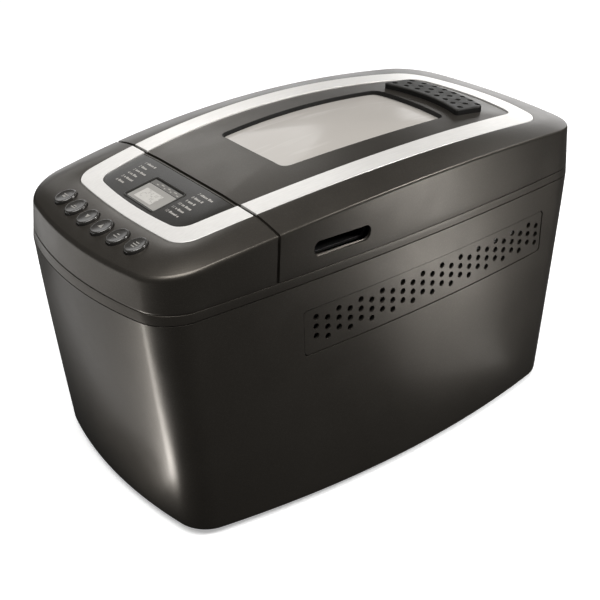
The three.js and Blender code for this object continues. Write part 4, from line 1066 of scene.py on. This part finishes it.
def lid_cover():
    edge = LID_LEFT + GAP / 2
    part = solid(OUTER, "lid_shell")
    keep(part, right_of(edge), above_lid(GAP / 2))
    cut(part, keep(solid(INNER), right_of(edge + WALL)),
        sloped_block(-FAR, FAR, REAR_EDGE, FAR, lambda x: 100, lambda x: lid_z(x, 3)))
    for x in HINGE["xs"]:
        cut(part, block(x - HINGE["notch"], x + HINGE["notch"], REAR_EDGE, FAR, 100, HINGE["z"] + 5))
    join(part, solid(dome_slab(outline(WINDOW, -2.4), 0.5, WINDOW_DEPTH)))
    well = dome_slab(outline(WINDOW), -4, WINDOW_DEPTH + 2)
    cut(part, solid(well), finger_slot(0, -FAR, -80), finger_lip(), solid(trim_band(GAP, cutter=True)))
    opening = grille_outline(-5)
    cut(part, solid(loft([flat(opening, 190), flat(opening, 260)])))
    half, y, z = HINGE["ear"] / 2, HINGE["y"], HINGE["z"]
    for x in HINGE["xs"]:
        arm = join(block(x - half, x + half, y - 4, y + 6, z, z + 8),
                   block(x - half, x + half, y - 4, y + 11, z + 6, z + 26))
        keep(arm, solid(OUTER))
        join(arm, cylinder("x", HINGE["ear_radius"], HINGE["ear"], (x, y, z), 32))
        join(part, arm)
    cut(part, hinge_bore(), joint_groove())
    placed(smooth(part, OUTER_GUIDE), "lid_shell", HOUSING, "lid", ["lid_cover"])


def painted_well_shade_and_seal():
    """A near-black lining of the window's well: painted shade, standing in for the shadow that falls in
    the well.
    """
    floor = WINDOW_DEPTH + 2 * GAP - 0.02
    base = lambda inset: raised(outline(WINDOW, inset), lambda x: dome_z(x, DOME_EDGE) - floor)
    tops = [draped(outline(WINDOW, inset), depth)
            for inset, depth in ((0.02, 0.3), (0.15, 0.1), (0.45, 0.1), (0.6, 0.3))]
    body = loft([base(0.02), *tops, base(0.6)], closed=True)
    placed(smooth(solid(body)), "painted_well_shade_and_seal", SEAL_AND_PAINTED_SHADE, "lid")


def lid_details():
    # The window well's near-black lining is painted shade.
    painted_well_shade_and_seal()
    band = trim_band()
    right = keep(solid(band), right_of(LID_LEFT + BAND_END))
    placed(smooth(right, Guide(*band)), "lid_trim_band", TRIM, "lid", ["lid_trim"])
    glass = dome_slab(outline(WINDOW, -3), WINDOW_DEPTH + 2 * GAP, WINDOW_DEPTH + 3)
    # The pane's pale colour is painted reflection.
    placed(smooth(solid(glass), Guide(*glass)), "window_pane", PANE_PAINTED_REFLECTION, "lid", ["lid_window"])
    front = wall_front(FINGER["x"]) + WALL + 2 * GAP
    cup = finger_slot(1.8, front, front + FINGER["depth"])
    cut(cup, finger_slot(0, front - 5, front + FINGER["depth"] - 1.8))
    placed(smooth(cup), "finger_pocket", BLACK, "lid", ["finger_cup"])
    grille()


# ------------------------------------------------------------------ bread pan and paddle
def pan_ring(z, grow):
    """The pan's outline at a height. It widens upwards by its draft, and by grow all round."""
    p = PAN
    slack = p["draft"] * (1 - (z - p["floor"]) / (p["rim"] - p["floor"])) - grow
    sides = box_about(p["x"], 0, 2 * p["half_x"], 2 * p["half_y"], -slack)
    return [(x, y, z) for x, y in rounded_ring(*sides, p["corner"] + grow, 12)]


def pan_hole(z):
    p = PAN
    return [(x, y, z) for x, y in rounded_ring(*box_about(p["x"], 0, 0, 0, p["hole"]), p["hole"], 12)]


def bread_pan():
    """A deep-drawn pan: rounded foot, drafted walls, rolled rim and a hole for the bush."""
    floor, rim, sheet, walls = PAN["floor"], PAN["rim"], PAN["sheet"], (110, 130, 150, 165)
    rings = [pan_hole(floor)]
    rings += [pan_ring(floor + 4 * (1 - c), -4 * (1 - s)) for s, c in quarter(6)]
    rings += [pan_ring(z, 0) for z in (*walls, rim - 3.3)]
    rings += [pan_ring(rim - drop, grow) for grow, drop in PAN_RIM]
    rings += [pan_ring(z, -sheet) for z in (rim - 2.2, *walls[::-1])]
    rings += [pan_ring(floor + sheet + 7 * (1 - s), -sheet - 7 * (1 - c)) for s, c in quarter(8)]
    rings.append(pan_hole(floor + sheet))
    pan = solid(loft(rings, closed=True))
    placed(smooth(pan, angle=45), "bread_pan_shell", COATING, "pan", ["bread_pan"])


def rail(points, radius, normal, sides=20):
    """A round rod along points that lie in one plane with the given normal."""
    normal = Vector(normal).normalized()
    rings = []
    for i, point in enumerate(points):
        before = (point - points[i - 1]).normalized() if i else None
        after = (points[i + 1] - point).normalized() if i < len(points) - 1 else None
        run = ((before or after) + (after or before)).normalized()
        across = normal.cross(run).normalized()
        rings.append([tuple(point + radius * (c * across + s * normal)) for c, s in turns(sides)])
    return solid(loft(rings))


def pan_bail():
    """The wire handle: two pivots in the ears, two sloping sides and a bar across."""
    b = BAIL
    slope = Vector((0, -b["reach"], b["lift"]))
    length = slope.length
    spot = lambda x, along: Vector((PAN["x"] + x, 0, b["z"])) + slope * (along / length)
    right = [spot(b["x"] - 6, 0)]
    right += [spot(b["x"] - b["foot"] * (1 - s), b["foot"] * (1 - c)) for s, c in quarter(6)]
    right += [spot(b["x"] - b["bend"] * (1 - c), length - b["bend"] * (1 - s)) for s, c in quarter(12)]
    left = [Vector((2 * PAN["x"] - p.x, p.y, p.z)) for p in right]
    bail = rail(left + right[::-1], b["rod"], (0, b["lift"], b["reach"]))
    placed(smooth(bail, angle=50), "pan_bail", ROD_STEEL, "bail", ["pan_handle"])


def quadratic(p, c, q, steps=10):
    """Points of a curve from p to q, drawn towards c, without p itself."""
    shares = [k / steps for k in range(1, steps + 1)]
    return [tuple((1 - t) ** 2 * a + 2 * t * (1 - t) * m + t * t * b for a, m, b in zip(p, c, q))
            for t in shares]


def paddle():
    """The kneading paddle: a tapered hub and one curved blade with softened edges."""
    x0 = PAN["x"]
    hub = solid(loft([[(x0 + r * c, r * s, z) for c, s in turns(40)] for r, z in PADDLE_HUB]))
    side = [(4, 97), (44, 97)]
    side += quadratic((44, 97), (48, 108), (36, 122)) + quadratic((36, 122), (20, 132), (4, 118))
    cx, cz = np.mean(np.array(side), axis=0)
    rings = []
    for y, share in ((3, 0.93), (2.6, 0.97), (1.9, 0.995), (1, 1), (-1, 1), (-1.9, 0.995), (-2.6, 0.97),
                     (-3, 0.93)):
        rings.append([(x0 + cx + (x - cx) * share, y, cz + (z - cz) * share) for x, z in side])
    join(hub, solid(loft(rings)))
    cut(hub, cylinder("z", 4.35, 26, (x0, 0, 103), 32))
    placed(smooth(hub, angle=40), "paddle_casting", COATING, "paddle", ["kneading_paddle"])


def gland():
    """The cord's rubber gland in the rear wall, with a softened collar."""
    c = CORD_ENTRY
    rings = []
    for y, inset in ((106.4, 1.5), (106.2, 0.8), (105.6, 0.2), (104.9, 0), (97.4, 0)):
        sides = box_about(c["x"], c["z"], c["width"], c["height"], -inset)
        rings.append(upright(rounded_ring(*sides, 4 - inset / 2), y))
    body = cut(solid(loft(rings)), cylinder("y", 3.6, 40, (c["x"], 103.4, c["z"]), 32))
    placed(smooth(body, angle=40), "cord_gland_body", RUBBER, "housing", ["cord_gland"])


# ------------------------------------------------------------------ CAD pieces that stay
def carried_over():
    """Gives each CAD piece that stays its finish. Those not listed are steel."""
    for name, obj in frame["nodes"].items():
        for slot in obj.material_slots:
            slot.material = FINISHES.get(name, STEEL)


FINISHES = {
    "base_plate": BLACK, "heating_element": BLACK, "run_capacitor": BLACK, "drive_pulley": BLACK,
    "motor_pulley": BLACK, "power_board": BOARD, "control_board": BOARD, "drive_belt": RUBBER,
    "foot_1": RUBBER, "foot_2": RUBBER, "foot_3": RUBBER, "foot_4": RUBBER, "pan_bush": BRASS,
    "drive_shaft": ROD_STEEL, "pan_shaft": ROD_STEEL, "liner_window": DARK_GLASS,
}

lower_housing()
upper_housing()
panel()
printed_lists()
buttons()
lid_cover()
lid_details()
bread_pan()
pan_bail()
paddle()
gland()
carried_over()


# ------------------------------------------------------------------ studio
def studio_floor():
    """A plain pale floor. Only the camera sees it pale, so that it throws no glare on the walls."""
    g = Graph("studio_floor")
    base = g.blend(g.spread(g.noise(3, 2), 0, 1), (0.84, 0.84, 0.835), (0.86, 0.86, 0.855))
    material = g.finish(base, Roughness=0.9, Emission_Color=(1, 1, 1, 1), Emission_Strength=0.4)
    dark = g.node("ShaderNodeBsdfDiffuse", {"Color": (0.05, 0.05, 0.05, 1)})
    path, mix = g.node("ShaderNodeLightPath"), g.node("ShaderNodeMixShader")
    g.link(path.outputs["Is Camera Ray"], mix.inputs[0])
    g.link(dark.outputs[0], mix.inputs[1])
    g.link(g.shader.outputs[0], mix.inputs[2])
    g.link(mix.outputs[0], g.tree.nodes["Material Output"].inputs["Surface"])
    reach = 6000
    corners = [(-reach, -reach, 0), (reach, -reach, 0), (reach, reach, 0), (-reach, reach, 0)]
    floor = new_object("studio_floor", corners, [(0, 1, 2, 3)])
    paint(floor, material)


def softbox(name, at, target, size, radiance):
    """A rectangular light of a given size in metres and radiance, aimed at a point."""
    data = bpy.data.lights.new(name, "AREA")
    data.shape, data.size, data.size_y = "RECTANGLE", size[0], size[1]
    data.energy = radiance * math.pi * size[0] * size[1]
    light = bpy.data.objects.new(name, data)
    bpy.context.scene.collection.objects.link(light)
    aim = (Vector(target) - Vector(at)).to_track_quat("-Z", "Y").to_matrix().to_4x4()
    light.matrix_world = Matrix.Translation(Vector(at)) @ aim
    light.visible_camera = False
    return light


def floor_card(name, start, stop, width, radiance):
    """A light lying on the floor between two points, seen only as a soft band on the walls."""
    a, b = Vector((*start, 1.0)) * MM, Vector((*stop, 1.0)) * MM
    run = b - a
    middle, angle = (a + b) / 2, math.atan2(run.y, run.x)
    light = softbox(name, middle, middle + Vector((0, 0, 1)), (run.length, width * MM), radiance)
    light.matrix_world = (Matrix.Translation(middle) @ Matrix.Rotation(angle, 4, "Z")
                          @ Matrix.Rotation(math.pi, 4, "X"))


def world():
    made = bpy.data.worlds.new("studio")
    bpy.context.scene.world = made
    made.use_nodes = True
    tree = made.node_tree
    sky = tree.nodes["Background"]
    sky.inputs["Color"].default_value = (1, 1, 1, 1)
    sky.inputs["Strength"].default_value = 0.05
    white = tree.nodes.new("ShaderNodeBackground")
    white.inputs["Strength"].default_value = 1.0
    path, mix = tree.nodes.new("ShaderNodeLightPath"), tree.nodes.new("ShaderNodeMixShader")
    tree.links.new(path.outputs["Is Camera Ray"], mix.inputs[0])
    tree.links.new(sky.outputs[0], mix.inputs[1])
    tree.links.new(white.outputs[0], mix.inputs[2])
    tree.links.new(mix.outputs[0], tree.nodes["World Output"].inputs["Surface"])


def camera():
    """The main view: its place, and how it is turned, tilted and rolled."""
    at = Vector((-466.63, -593.82, 518.25)) * MM
    turn, tilt, roll = (math.radians(a) for a in (-37.4167, 29.5569, -0.26166))
    back = Vector((math.sin(turn) * math.cos(tilt), -math.cos(turn) * math.cos(tilt), math.sin(tilt)))
    right = (-back).cross(Vector((0, 0, 1))).normalized()
    up = right.cross(-back).normalized()
    right, up = (math.cos(roll) * right + math.sin(roll) * up,
                 math.cos(roll) * up - math.sin(roll) * right)
    data = bpy.data.cameras.new("camera")
    data.lens, data.sensor_width = 64.976, 36
    data.clip_start, data.clip_end = 0.01, 50
    obj = bpy.data.objects.new("camera", data)
    bpy.context.scene.collection.objects.link(obj)
    basis = Matrix((right, up, back)).transposed()
    obj.matrix_world = Matrix.Translation(at) @ basis.to_4x4()
    bpy.context.scene.camera = obj


studio_floor()
world()
camera()
softbox("overhead", (-0.50, -0.38, 1.65), (-0.1, -0.12, 0), (1.25, 1.25), 7.4)
softbox("shoulder_light", (1.52, 0.28, 1.33), (0.1, -0.1, 0.2), (0.5, 0.5), 3.2)
softbox("crease_light", (0.965, -1.0, 1.12), (0.0, -0.1, 0.22), (0.34, 0.34), 46)
softbox("backdrop", (1.23, 1.58, 0.22), (0, 0, 0.25), (2.6, 0.5), 1.65)
softbox("backdrop_right", (1.65, 1.00, 0.52), (0, 0, 0.25), (0.8, 0.5), 1.5)
softbox("backdrop_high", (0.80, 1.50, 1.12), (0, 0, 0.25), (0.55, 0.42), 2.2)
softbox("backdrop_left", (0.35, 1.72, 1.05), (0, 0, 0.25), (0.8, 0.6), 1.15)
floor_card("left_card", (-235, 130), (-480, 130), 400, 0.65)
floor_card("left_card_far", (-430, 330), (-1150, 1000), 760, 1.2)
floor_card("corner_card", (-225, -60), (-520, 66), 34, 13)
floor_card("front_card_far", (234, -316), (634, -716), 148, 5.9)
floor_card("front_card_mid", (130, -175), (240, -290), 120, 1.1)
bpy.context.scene.view_settings.view_transform = "Standard"
